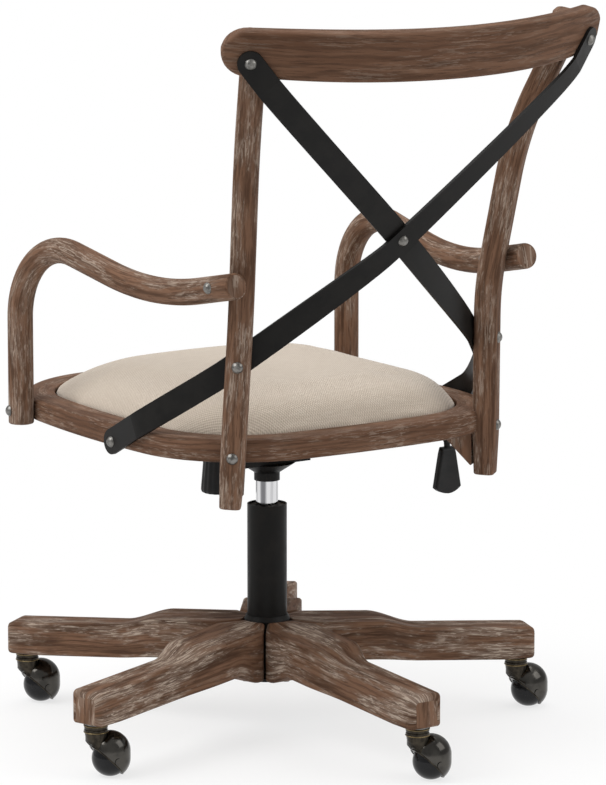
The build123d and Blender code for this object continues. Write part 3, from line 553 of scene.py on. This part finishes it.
nub_profile = [(0.0, 0.0), (nub_radius, 0.0), (nub_top_radius, nub_shoulder), (0.0, nub_height)]
nub_way = (trail_way * 2 + up_axis).normalized()
nub_turn = nub_way.to_track_quat("Z", "Y").to_matrix().to_4x4()
for number in range(leg_count):
    body = f"caster_{number + 1}"
    stem = heading(base_turn + 360 / leg_count * number) * caster_pitch
    ball_centre = stem + trail_way * caster_trail + up_axis * ball_radius
    hood_place = Matrix.Translation(ball_centre) @ hood_turn.to_4x4()
    hood_mesh = bmesh.new()
    turned(hood_mesh, hood_profile, hood_place, hood_segments)
    nub_foot = Matrix.Translation(ball_centre + nub_way * (hood_reach(nub_way) - nub_sink))
    turned(hood_mesh, nub_profile, nub_foot @ nub_turn, 16)
    piece(f"hood_{number + 1}", hood_mesh, body, gunmetal, "dark_bronze", f"caster_hood_{number + 1}")
    rim_mesh = bmesh.new()
    turned(rim_mesh, rim_profile, hood_place, hood_segments)
    piece(f"hood_rim_{number + 1}", rim_mesh, body, dark_collar, "dark_bronze")
    collar_mesh = bmesh.new()
    turned(collar_mesh, neck_profile, Matrix.Translation(stem), 48)
    piece(f"collar_{number + 1}", collar_mesh, body, dark_collar, "dark_bronze")
    line_mesh = bmesh.new()
    for height in (collar_bottom + ring_inset, collar_top - ring_inset):
        turned(line_mesh, wire(ring_wire, (collar_radius, height)), Matrix.Translation(stem))
    piece(f"collar_lines_{number + 1}", line_mesh, body, brass_rub, "dark_bronze")
    finish_nodes(gunmetal, f"caster_axle_{number + 1}")
    finish_nodes(ball_black, f"caster_ball_{number + 1}")

# Gas column
# A drawn steel tube in satin black, a plastic bush in its mouth and the chromed cylinder that slides in it.
# The rod, its bearing and clip, and the gas valve's button are bright steel and hidden at rest.
# The cylinder's colour runs in lengthwise bands from dark to bright grey: painted reflection bands, which
# also give the look of drawn lines in the chrome.
chrome_painted_dark_band = (0.20, 0.20, 0.21)
chrome_painted_bright_band = (0.72, 0.72, 0.73)
chrome, tree, shader = new_material("chrome_with_painted_reflection")
place = tree.nodes.new("ShaderNodeTexCoord")
# Lengthwise streak noise that sets painted reflection bands in the base colour, partly drawn lines.
streaks_and_painted_reflection = new_node(tree, "ShaderNodeTexNoise", scale=130.0, detail=3.0)
drawn = stretched(tree, place.outputs["Object"], (1, 1, 0.02), (0, 0, 0))
tree.links.new(drawn, streaks_and_painted_reflection.inputs["Vector"])
painted_reflection_band_mask = mapped(tree, streaks_and_painted_reflection.outputs["Fac"], 0.38, 0.62)
tree.links.new(blended(tree, painted_reflection_band_mask, chrome_painted_dark_band, chrome_painted_bright_band), shader.inputs["Base Color"])
tree.links.new(mapped(tree, streaks_and_painted_reflection.outputs["Fac"], 0.3, 0.7, 0.22, 0.10), shader.inputs["Roughness"])
shader.inputs["Metallic"].default_value = 1.0
moulded_black = coated(
    "moulded_black", (0.008, 0.008, 0.008), (0.015, 0.014, 0.014), (0.42, 0.56), 0.0, 60.0, 2200.0, 0.4, 0.25)
finish_nodes(black_steel, "column_tube")
finish_nodes(moulded_black, "guide_bush")
finish_nodes(chrome, "gas_cylinder")
finish_nodes(zinc, "piston_rod", "thrust_bearing", "retaining_clip", "valve_button")

# Tilt mechanism
# A pressed steel pan with a tapered collar for the cylinder, turning with the seat plate on a steel pin.
# A torsion spring, a tension bolt with its moulded knob and a bent lever rod with a moulded paddle work it.
finish_nodes(black_steel, "mechanism_housing", "seat_plate", "lever_bar")
finish_nodes(zinc, "tilt_pin", "tilt_spring", "tension_screw", "tension_nut", "lock_slider", "plate_screws")
knob_y = -108 * mm
knob_bottom = 283 * mm
knob_top = 335 * mm
knob_low_radius = 24 * mm
knob_high_radius = 20 * mm
knob_ribs = 18
knob_steps = 10
knob_edge = 4 * mm
knob_skirt = 5 * mm
rib_depth = 0.8 * mm
rib_reach = 1 * mm
knob_mesh = bmesh.new()
knob_profile = [(0.0, 0.0), (knob_low_radius - knob_edge, 0.0)]
knob_profile += arc(knob_edge, 180, 95, 5, (knob_low_radius - knob_edge, knob_edge))
knob_height = knob_top - knob_bottom
for k in range(1, knob_steps + 1):
    share = k / knob_steps
    radius = knob_low_radius + (knob_high_radius - knob_low_radius) * share
    knob_profile.append((radius, knob_skirt + (knob_height - knob_skirt) * share))
knob_profile.append((0.0, knob_height))
turned(knob_mesh, knob_profile, Matrix.Translation((0, knob_y, knob_bottom)), knob_ribs * 6)
for vert in knob_mesh.verts:
    offset = Vector((vert.co.x, vert.co.y - knob_y, 0))
    if offset.length > knob_high_radius - rib_reach:
        wave = math.cos(knob_ribs * math.atan2(offset.y, offset.x))
        vert.co -= offset.normalized() * rib_depth * (0.5 - 0.5 * wave)
piece("knob", knob_mesh, "tension", moulded_black, "black_plastic", "tension_knob")

paddle_centre = Vector((-250 * mm, 42 * mm, 0))
paddle_top = 338 * mm
paddle_length = 60 * mm
paddle_top_half = 10.5 * mm
paddle_low_half = 21.5 * mm
paddle_half_depth = 5.5 * mm
paddle_toe = 28.8 * mm
paddle_dish = 1.2 * mm
paddle_ease = 1.2 * mm
paddle_corner = 3 * mm
paddle_steps = 24
paddle_mesh = bmesh.new()
paddle_stations = []
for k in range(paddle_steps + 1):
    share = math.sin(math.radians(90 * k / paddle_steps))
    height = paddle_top - paddle_length * share
    half = paddle_top_half + (paddle_low_half - paddle_top_half) * share
    above_toe = height - (paddle_top - paddle_length)
    if above_toe < paddle_toe:
        half = min(half, math.sqrt(max(paddle_toe ** 2 - (paddle_toe - above_toe) ** 2, 1e-8)))
    ease = min(k, paddle_steps - k) / 2
    depth = paddle_half_depth - (paddle_ease * (1 - ease) if ease < 1 else 0)
    corner = min(paddle_corner, half * 0.8)
    fade = math.sin(math.pi * share) ** 0.5 if 0 < share < 1 else 0.0
    dished = []
    for x, y in rounded_box(half, -depth, depth, corner):
        inside = max(0.0, 1 - (x / max(half - corner, 1e-5)) ** 2) if abs(x) < half - corner else 0.0
        dished.append((x, y - math.copysign(paddle_dish * inside * fade, y)))
    spot = paddle_centre + up_axis * height
    paddle_stations.append((spot, Vector((1, 0, 0)), Vector((0, 1, 0)), dished, share))
bar(paddle_mesh, paddle_stations, 0.0)
piece("paddle", paddle_mesh, "lever", moulded_black, "black_plastic", "lever_paddle")

# Seat ring
# A steam-bent oak hoop, a rounded square in plan, with eased edges and a groove inside it for the board.
# It carries the posts, the arms and the strap ends on its outer face.
seat_half_width = 246.8 * mm
seat_back = 234.9 * mm
seat_front = -311.6 * mm
back_radius = 1200 * mm
side_radius = 1320 * mm
front_radius = 920 * mm
back_corner_radius = 149 * mm
front_corner_radius = 166 * mm
ring_bottom = 390.8 * mm
ring_top = 418.4 * mm
ring_border = 36 * mm
ring_round = 5 * mm
ring_arris = 0.9 * mm
lip_round = 1.6 * mm
board_edge = 25 * mm
board_top = 408.2 * mm
ring_ledge = 42 * mm
ledge_top = 396 * mm
back_centre = Vector((0, seat_back - back_radius, 0))
side_centre = Vector((seat_half_width - side_radius, 0, 0))
front_centre = Vector((0, seat_front + front_radius, 0))


def corner_centre(centre, radius, corner, sign):
    """Centre of the corner arc that touches a long arc and the side arc from inside."""
    first, second = radius - corner, side_radius - corner
    span = side_centre - centre
    reach = (first ** 2 - second ** 2 + span.length ** 2) / (2 * span.length)
    unit = span.normalized()
    return centre + unit * reach + Vector((-unit.y, unit.x, 0)) * sign * math.sqrt(first ** 2 - reach ** 2)


back_corner = corner_centre(back_centre, back_radius, back_corner_radius, -1)
front_corner = corner_centre(front_centre, front_radius, front_corner_radius, 1)


def bearing(centre, point):
    """Heading in degrees of a point seen from a centre."""
    return math.degrees(math.atan2(point.x - centre.x, point.y - centre.y))


mirror_plan = Vector((-1, 1, 1))


def seat_outline():
    """Points round the seat's edge with their outward directions, from the middle of the front."""
    to_front = bearing(front_centre, front_corner)
    side_front = bearing(side_centre, front_corner)
    side_back = bearing(side_centre, back_corner)
    to_back = bearing(back_centre, back_corner)
    half = []
    for centre, radius, first, last, steps in (
        (front_centre, front_radius, 180, to_front, 10),
        (front_corner, front_corner_radius, to_front, side_front, 26),
        (side_centre, side_radius, side_front, side_back, 26),
        (back_corner, back_corner_radius, side_back, to_back, 26),
        (back_centre, back_radius, to_back, 0, 10),
    ):
        for k in range(steps):
            out = heading(first + (last - first) * k / steps)
            half.append((centre + out * radius, out))
    half.append((Vector((0, seat_back, 0)), heading(0)))
    return half + [(point * mirror_plan, out * mirror_plan) for point, out in half[-2:0:-1]]


ring_profile = arc(ring_round, 90, 0, 6, (-ring_round, ring_top - ring_round))
ring_profile += [(-inset * mm, ring_top) for inset in (9, 18, 27, 34.4)]
ring_profile += [(-35.5 * mm, ring_top - 0.5 * mm), (-ring_border, ring_top - lip_round)]
ring_profile += [(-ring_border, board_top), (-board_edge, board_top), (-board_edge, ledge_top)]
ring_profile += [(-ring_ledge, ledge_top), (-ring_ledge, ring_bottom)]
ring_profile += [(-inset * mm, ring_bottom) for inset in (30, 16, 3)]
ring_profile += [(-ring_arris, ring_bottom + ring_arris)]
ring_profile += [(0.0, ring_bottom + rise * mm) for rise in (3, 9, 16)]
ring_stations = []
travelled = 0.0
outline_points = seat_outline()
for k, (point, out) in enumerate(outline_points):
    if k:
        travelled += (point - outline_points[k - 1][0]).length
    ring_stations.append((point, out, up_axis, ring_profile, travelled))
ring_mesh = bmesh.new()
bar(ring_mesh, ring_stations, 20.0, closed=True)
hoop_oak = oak_material("rubbed_oak_hoop", 1.2, 0.32, 0.85)
piece("seat_hoop", ring_mesh, "seat", hoop_oak, "oak", "seat_frame")

# Seat board and cushion
# A birch ply board in the hoop's groove, and on it a foam dome covered in cream linen of a fine basket weave.
# The cover is pulled tight over the foam and tucked down inside the hoop all round.
ply = coated("birch_ply", (0.36, 0.25, 0.14), (0.46, 0.33, 0.20), (0.6, 0.7), 0.0, 18.0, 700.0, 0.3)
finish_nodes(ply, "seat_board")
cushion_low = 408 * mm
cushion_crown = 45 * mm
front_power = 4.8
back_power = 8.5
cushion_inset = 36.8 * mm
cushion_levels = 26
cushion_tuck = 5 * mm
dome_middle = Vector((0, 50 * mm, 0))
weave_pitch = 3.4 * mm
# Colour of the weave's hollows, darker than the crests: painted shade.
weave_hollow_painted_shade = (0.405, 0.340, 0.272)
thread_cream = (0.570, 0.488, 0.402)
slub_pale = (0.610, 0.545, 0.460)


def linen_weave():
    """Basket weave seen from above: a thread value, a height and slubs, from places in the seat's plane."""
    tree, entry, leave = new_group(
        "linen_weave",
        [("Place", "NodeSocketVector"), ("Pitch", "NodeSocketFloat")],
        [("Thread", "NodeSocketFloat"), ("Slub", "NodeSocketFloat"), ("Height", "NodeSocketFloat")],
    )
    scaled = new_node(tree, "ShaderNodeVectorMath", operation="SCALE")
    tree.links.new(entry.outputs["Place"], scaled.inputs[0])
    tree.links.new(reckoned(tree, "DIVIDE", math.tau, entry.outputs["Pitch"]), scaled.inputs["Scale"])
    parts = new_node(tree, "ShaderNodeSeparateXYZ")
    tree.links.new(scaled.outputs[0], parts.inputs[0])
    weave = times(tree, *(reckoned(tree, "SINE", parts.outputs[axis]) for axis in ("X", "Y")))
    slub = stretched_noise(tree, entry.outputs["Place"], 60, 420, 3, 2.0)
    tree.links.new(mapped(tree, weave, -0.55, 0.55), leave.inputs["Thread"])
    tree.links.new(slub, leave.inputs["Slub"])
    tree.links.new(reckoned(tree, "MULTIPLY_ADD", slub, 0.6, weave), leave.inputs["Height"])
    return tree


linen, tree, shader = new_material("cream_linen")
place = tree.nodes.new("ShaderNodeTexCoord")
weave = new_node(tree, "ShaderNodeGroup", node_tree=linen_weave())
weave.inputs["Pitch"].default_value = weave_pitch
tree.links.new(place.outputs["Object"], weave.inputs["Place"])
# The thread value is low in the weave's hollows, so they take the darker colour: painted shade in the
# hollows.
thread_colour = blended(tree, weave.outputs["Thread"], weave_hollow_painted_shade, thread_cream)
slub_mask = times(tree, mapped(tree, weave.outputs["Slub"], 0.45, 0.7), 0.35)
tree.links.new(blended(tree, slub_mask, thread_colour, slub_pale), shader.inputs["Base Color"])
for label, number in (
    ("Roughness", 0.9), ("Specular IOR Level", 0.2), ("Sheen Weight", 0.25), ("Sheen Roughness", 0.5),
):
    shader.inputs[label].default_value = number
bumped(tree, shader, weave.outputs["Height"], 0.35 * mm, 0.6)

dome = bmesh.new()
scales = [math.cos(math.radians(90 * k / cushion_levels)) for k in range(cushion_levels)]
rings = []
cushion_rim = [(cushion_low, 1.0), (cushion_low + cushion_tuck, 1.0)]
for base, scale in cushion_rim + [(ring_top, scale) for scale in scales]:
    ring = []
    for point, out in outline_points:
        edge = dome_middle.lerp(point - out * cushion_inset, scale)
        power = front_power + (back_power - front_power) * (1 + out.y) / 2
        ring.append(dome.verts.new((edge.x, edge.y, base + cushion_crown * (1 - scale ** power))))
    rings.append(ring)
for ring, following in zip(rings, rings[1:]):
    for k in range(len(ring)):
        dome.faces.new((ring[k - 1], ring[k], following[k], following[k - 1]))
dome.faces.new(rings[0])
dome.faces.new(rings[-1])
cushion = piece("cushion", dome, "seat", linen, "linen", "seat_cushion")
cushion.modifiers.clear()
voxel = 6 * mm
puff_cap = 3 * mm
puff_steps = 20
remesh = cushion.modifiers.new("even_mesh", "REMESH")
remesh.mode = "VOXEL"
remesh.voxel_size = voxel
depsgraph = bpy.context.evaluated_depsgraph_get()
even = bpy.data.meshes.new_from_object(cushion.evaluated_get(depsgraph))
cushion.modifiers.clear()
cushion.data = even
rest = [v.co.copy() for v in even.vertices]
tucked = cushion.vertex_groups.new(name="tucked")
tucked.add([v.index for v in even.vertices if v.co.z < ring_top + 1 * mm], 1.0, "REPLACE")
cloth = cushion.modifiers.new("stuffing", "CLOTH")
cloth.settings.use_pressure = True
cloth.settings.uniform_pressure_force = 4.0
cloth.settings.effector_weights.gravity = 0.0
cloth.settings.vertex_group_mass = "tucked"
cloth.settings.quality = 5
for step in range(1, puff_steps + 1):
    bpy.context.scene.frame_set(step)
depsgraph = bpy.context.evaluated_depsgraph_get()
puffed = bpy.data.meshes.new_from_object(cushion.evaluated_get(depsgraph))
cushion.modifiers.clear()
for vert, start in zip(puffed.vertices, rest):
    move = vert.co - start
    if move.length > puff_cap:
        vert.co = start + move.normalized() * puff_cap
cushion.data = puffed
bpy.context.scene.frame_set(1)
puffed.polygons.foreach_set("use_smooth", [True] * len(puffed.polygons))
smooth = cushion.modifiers.new("soft", "SMOOTH")
smooth.factor = 0.5
smooth.iterations = 6
cushion.modifiers.new("finer", "SUBSURF").levels = 1

# Back posts
# Two steam-bent oak posts of rounded square section, housed in the hoop's rear corners and running on below.
# They lean out and back to the rail, and a three-cornered block braces each one under the hoop.
post_angle = 38
post_half = 15 * mm
post_edge = 8 * mm
post_outset = 6.5 * mm
post_bend = 420 * mm
post_head_bend = 50 * mm
post_taper = 0.14
post_taper_run = 52 * mm
post_end_ease = 2 * mm
bend_step = 7 * mm
as_drawn = Vector((1, 1, 1))
post_out = heading(post_angle)
post_seat = back_corner + post_out * (back_corner_radius + post_outset)
post_route = [
    post_seat + Vector((0, -1.6, 336.8)) * mm,
    post_seat + Vector((-7.8, 11.3, 575)) * mm,
    post_seat + Vector((8.2, 47.6, 770)) * mm,
    post_seat + Vector((34.2, 100.6, 885)) * mm,
]
rail_lean = math.radians(9.5)
rail_cone = math.radians(5)
post_peak = 36 * mm
peak_way = Vector((0, math.sin(rail_lean + rail_cone), math.cos(rail_lean + rail_cone)))
post_route.append(post_route[-1] + peak_way * post_peak)


def bent(points, radii, step):
    """Points along straight runs joined by tangent arcs, about a step apart."""
    path = [points[0]]
    for before, corner, after, radius in zip(points, points[1:], points[2:], radii):
        back_way = (before - corner).normalized()
        on_way = (after - corner).normalized()
        half = back_way.angle(on_way) / 2
        reach = radius / math.tan(half)
        middle = corner + (back_way + on_way).normalized() * radius / math.sin(half)
        first = corner + back_way * reach - middle
        last = corner + on_way * reach - middle
        start = path[-1]
        count = max(1, round((middle + first - start).length / step))
        path += [start.lerp(middle + first, k / count) for k in range(1, count + 1)]
        sweep = first.angle(last)
        count = max(3, round(radius * sweep / step))
        for k in range(1, count + 1):
            share = k / count
            spot = first * math.sin((1 - share) * sweep) + last * math.sin(share * sweep)
            path.append(middle + spot / math.sin(sweep))
    start = path[-1]
    count = max(1, round((points[-1] - start).length / step))
    return path + [start.lerp(points[-1], k / count) for k in range(1, count + 1)]


def swept(path, side, outline, ease):
    """Stations of one outline carried along a path without twist, with its two end edges eased."""
    stations = []
    travelled = 0.0
    half = max(abs(x) for x, y in outline)
    for k, point in enumerate(path):
        along = (path[min(k + 1, len(path) - 1)] - path[max(k - 1, 0)]).normalized()
        side = (side - along * side.dot(along)).normalized()
        if k:
            travelled += (point - path[k - 1]).length
        stations.append((point, side, along.cross(side), outline, travelled))
    for end, sign in ((0, 1), (-1, -1)):
        point, side, rise, shape, travelled = stations[end]
        along = side.cross(rise) * sign
        stations[end] = (point + along * ease, side, rise, shape, travelled + sign * ease)
        edge = []
        for angle in (30, 60, 90):
            turn = math.radians(angle)
            shrink = 1 - ease * (1 - math.cos(turn)) / half
            shift = ease * (1 - math.sin(turn))
            eased_shape = [(x * shrink, y * shrink) for x, y in shape]
            edge.append((point + along * shift, side, rise, eased_shape, travelled + sign * shift))
        stations = edge[::-1] + stations if end == 0 else stations + edge
    return stations


bent_oak = oak_material("limed_bent_oak", 1.35, 0.55, 0.35)
post_section = rounded_box(post_half, -post_half, post_half, post_edge, 4, 6)
for side_name, flip, shift in (("left", as_drawn, 31.0), ("right", mirror_plan, 37.0)):
    route = bent([p * flip for p in post_route], [post_bend, post_bend, post_head_bend], bend_step)
    post_stations = []
    for point, side, rise, outline, along in swept(route, post_out * flip, post_section, post_end_ease):
        slim = 1 - post_taper * max(0.0, 1 - along / post_taper_run)
        post_stations.append((point, side, rise, [(x * slim, y * slim) for x, y in outline], along))
    post_mesh = bmesh.new()
    bar(post_mesh, post_stations, shift)
    piece(f"back_post_{side_name}", post_mesh, "seat", bent_oak, "oak", f"post_{side_name}")
gusset_leg = 45 * mm
gusset_half = 12 * mm
gusset_edge = 1.5 * mm
gusset_gap = 0.4 * mm
gusset_nose = 3 * mm
gusset_mesh = bmesh.new()
post_foot, post_knee = post_route[0], post_route[1]
ring_share = (ring_bottom - post_foot.z) / (post_knee.z - post_foot.z)
gusset_corner = post_foot.lerp(post_knee, ring_share) - post_out * (post_half + 0.2 * mm)
gusset_shape = [(gusset_gap, -gusset_gap), (gusset_leg - gusset_nose, -gusset_gap)]
gusset_shape += [(gusset_leg - 2.4 * mm, -1.8 * mm), (1.8 * mm, 2.4 * mm - gusset_leg)]
gusset_shape += [(gusset_gap, gusset_nose - gusset_leg)]
for flip, shift in ((as_drawn, 43.0), (mirror_plan, 47.0)):
    across = (up_axis.cross(post_out) * flip).normalized()
    gusset_stations = []
    inner = gusset_half - gusset_edge
    for place_across, shrink in ((-gusset_half, 0.95), (-inner, 1.0), (inner, 1.0), (gusset_half, 0.95)):
        shape = [(x * shrink, y * shrink) for x, y in gusset_shape]
        centre = gusset_corner * flip + across * place_across
        gusset_stations.append((centre, -post_out * flip, up_axis, shape, place_across))
    bar(gusset_mesh, gusset_stations, shift)
piece("braces", gusset_mesh, "seat", bent_oak, "oak", "gussets")

# Top rail
# A steam-bent oak board behind the post heads, leaning back, with round ends and softened edges.
# A bolt through each end holds the rail, the post and a strap together.
rail_radius = 520 * mm
rail_thickness = 22 * mm
rail_half_height = 30.5 * mm
rail_taper = 2.5 * mm
rail_half_length = 270.5 * mm
rail_end = 27 * mm
rail_edge = 6 * mm
rail_lift = 15.5 * mm
rail_housing = 5 * mm
rail_tip_share = 0.08
rail_end_steps = 9
rail_end_turn = 11
rail_half_steps = 40
rail_up = Vector((0, math.sin(rail_lean), math.cos(rail_lean)))
rail_back = Vector((0, math.cos(rail_lean), -math.sin(rail_lean)))
post_head = post_route[3]
post_ring = rail_radius - rail_thickness - post_half + rail_housing
rail_reach = math.sqrt(post_ring ** 2 - post_head.x ** 2)
rail_origin = Vector((0, post_head.y, post_head.z)) - rail_back * rail_reach + rail_up * rail_lift
rail_middle = rail_radius - rail_thickness / 2
flat_half = rail_half_length - rail_end
rail_run = []
for k in range(rail_end_steps):
    turn = math.radians(90 - rail_end_turn * k)
    rail_run.append((flat_half + rail_end * math.sin(turn), math.cos(turn)))
rail_run[0] = (rail_half_length, rail_tip_share)
rail_run += [(flat_half * (1 - k / rail_half_steps), 1.0) for k in range(2 * rail_half_steps + 1)]
rail_run += [(-x, share) for x, share in rail_run[rail_end_steps - 1::-1]]
rail_stations = []
for x, share in rail_run:
    turn = math.asin(x / rail_middle)
    radial = Vector((1, 0, 0)) * math.sin(turn) + rail_back * math.cos(turn)
    thick = radial * math.cos(rail_cone) - rail_up * math.sin(rail_cone)
    rise = rail_up * math.cos(rail_cone) + radial * math.sin(rail_cone)
    half = (rail_half_height - rail_taper * min(abs(x) / flat_half, 1.0) ** 4) * share
    squeeze = min(1.0, half / (rail_half_height / 2))
    thick_half = rail_thickness / 2 * (0.75 + 0.25 * squeeze)
    outline = rounded_box(thick_half, -half, half, min(rail_edge, half * 0.9, thick_half * 0.9))
    rail_stations.append((rail_origin + radial * rail_middle, thick, rise, outline, -turn * rail_middle))
rail_mesh = bmesh.new()
bar(rail_mesh, rail_stations, 53.0)
rail_oak = oak_material("rubbed_oak_rail", 0.9, 0.16, 0.85)
piece("back_rail", rail_mesh, "seat", rail_oak, "oak", "top_rail")

# Straps and bolts
# Two flat steel straps cross behind the sitter, bent and drilled, with a satin black coat.
# Domed bolts, zinc plated, hold them to the rail, to each other, to the posts and to the hoop.
finish_nodes(black_steel, "strap_a", "strap_b")
finish_nodes(zinc, "rail_bolts", "cross_bolt", "strap_bolts", "post_bolts")
finish_nodes(zinc, "ring_bolts", "arm_bolts", "foot_bolts")

# Arms
# Two arms steam-bent from round oak bar: up from the hoop's front corner, over a hump and through a dip.
# Each is bolted to the outer side of its post and to the hoop, and its cut ends show.
arm_radius = 16 * mm
arm_end_ease = 2.5 * mm
arm_foot_z = 387.5 * mm
arm_hump_z = 638 * mm
arm_dip_y = 95 * mm
arm_dip_z = 582.6 * mm
arm_rear_y = 252 * mm
arm_rear_z = 614 * mm
arm_hump_bend = 95 * mm
arm_dip_bend = 440 * mm
arm_foot_out = heading(102.5)
arm_foot = front_corner + arm_foot_out * (front_corner_radius + arm_radius)
arm_rear = Vector((post_seat.x + 23.5 * mm, arm_rear_y, 0))
arm_slope = (arm_rear.x - arm_foot.x) / (arm_rear.y - arm_foot.y)
arm_route = []
arm_rise = [(arm_foot.y, arm_foot_z), (arm_foot.y, arm_hump_z)]
for y, z in arm_rise + [(arm_dip_y, arm_dip_z), (arm_rear_y, arm_rear_z)]:
    arm_route.append(Vector((arm_foot.x + arm_slope * (y - arm_foot.y), y, z)))
arm_section = arc(arm_radius, 0, 348.75, 31)
for side_name, flip, shift in (("left", as_drawn, 59.0), ("right", mirror_plan, 61.0)):
    route = bent([p * flip for p in arm_route], [arm_hump_bend, arm_dip_bend], bend_step)
    arm_mesh = bmesh.new()
    bar(arm_mesh, swept(route, Vector((1, 0, 0)), arm_section, arm_end_ease), shift)
    piece(f"bent_arm_{side_name}", arm_mesh, "seat", bent_oak, "oak", f"arm_{side_name}")

# Studio
# A pale floor, a white surround and large soft lamps, with the camera where the picture was taken.
floor_half = 30.0
floor_data = bpy.data.meshes.new("floor")
floor_corners = [(x * floor_half, y * floor_half, 0) for x, y in ((-1, -1), (1, -1), (1, 1), (-1, 1))]
floor_data.from_pydata(floor_corners, [], [(0, 1, 2, 3)])
floor = bpy.data.objects.new("floor", floor_data)
bpy.context.scene.collection.objects.link(floor)
floor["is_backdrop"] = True
floor_finish, tree, shader = new_material("pale_floor")
shader.inputs["Base Color"].default_value = (0.9, 0.9, 0.9, 1)
shader.inputs["Roughness"].default_value = 1.0
shader.inputs["Specular IOR Level"].default_value = 0.0
glow = new_node(tree, "ShaderNodeEmission", strength=1.0)
place = tree.nodes.new("ShaderNodeTexCoord")
distance = new_node(tree, "ShaderNodeVectorMath", operation="LENGTH")
tree.links.new(place.outputs["Object"], distance.inputs[0])
fade = mapped(tree, distance.outputs["Value"], 0.25, 0.9, 0.72, 1.0)
light_path = tree.nodes.new("ShaderNodeLightPath")
seen = reckoned(tree, "MAXIMUM", light_path.outputs["Is Camera Ray"], light_path.outputs["Is Glossy Ray"])
mix = tree.nodes.new("ShaderNodeMixShader")
tree.links.new(times(tree, fade, seen), mix.inputs[0])
tree.links.new(shader.outputs[0], mix.inputs[1])
tree.links.new(glow.outputs[0], mix.inputs[2])
tree.links.new(mix.outputs[0], tree.nodes["Material Output"].inputs["Surface"])
floor_data.materials.append(floor_finish)

world = bpy.data.worlds.new("studio")
bpy.context.scene.world = world
world.use_nodes = True
tree = world.node_tree
room = tree.nodes["Background"]
room.inputs["Color"].default_value = (1, 1, 1, 1)
room.inputs["Strength"].default_value = 0.5
backdrop = new_node(tree, "ShaderNodeBackground", strength=1.0)
light_path = tree.nodes.new("ShaderNodeLightPath")
mix = tree.nodes.new("ShaderNodeMixShader")
tree.links.new(light_path.outputs["Is Camera Ray"], mix.inputs[0])
tree.links.new(room.outputs[0], mix.inputs[1])
tree.links.new(backdrop.outputs[0], mix.inputs[2])
tree.links.new(mix.outputs[0], tree.nodes["World Output"].inputs["Surface"])

camera_place = Vector((3.18670, 4.69725, 1.45013))
camera_forward = Vector((-0.55901, -0.81000, -0.17723)).normalized()
camera_right = camera_forward.cross(up_axis).normalized()
camera_up = camera_right.cross(camera_forward)
aim = Vector((0, 0, 0.5))
for name, way, away, size, power in (
    ("key_lamp", camera_right * -1.5 - camera_forward * 0.6 + up_axis * 1.6, 2.6, 1.6, 42),
    ("fill_lamp", camera_right * 1.6 - camera_forward * 0.5 + up_axis * 0.9, 2.8, 1.8, 22),
    ("top_lamp", up_axis * 2.2 + camera_forward * 0.4, 2.6, 2.0, 34),
):
    lamp = bpy.data.lights.new(name, "AREA")
    lamp.size = size
    lamp.energy = power
    lamp_object = bpy.data.objects.new(name, lamp)
    lamp_object.location = aim + way.normalized() * away
    lamp_object.rotation_euler = (aim - lamp_object.location).to_track_quat("-Z", "Y").to_euler()
    bpy.context.scene.collection.objects.link(lamp_object)

camera = bpy.data.cameras.new("camera")
camera.sensor_width = 36
camera.lens = 210.97
camera.clip_end = 100
camera_object = bpy.data.objects.new("camera", camera)
turn = Matrix((camera_right, camera_up, -camera_forward)).transposed().to_4x4()
camera_object.matrix_world = Matrix.Translation(camera_place) @ turn
bpy.context.scene.collection.objects.link(camera_object)
bpy.context.scene.camera = camera_object
bpy.context.scene.view_settings.view_transform = "Standard"

low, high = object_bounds()
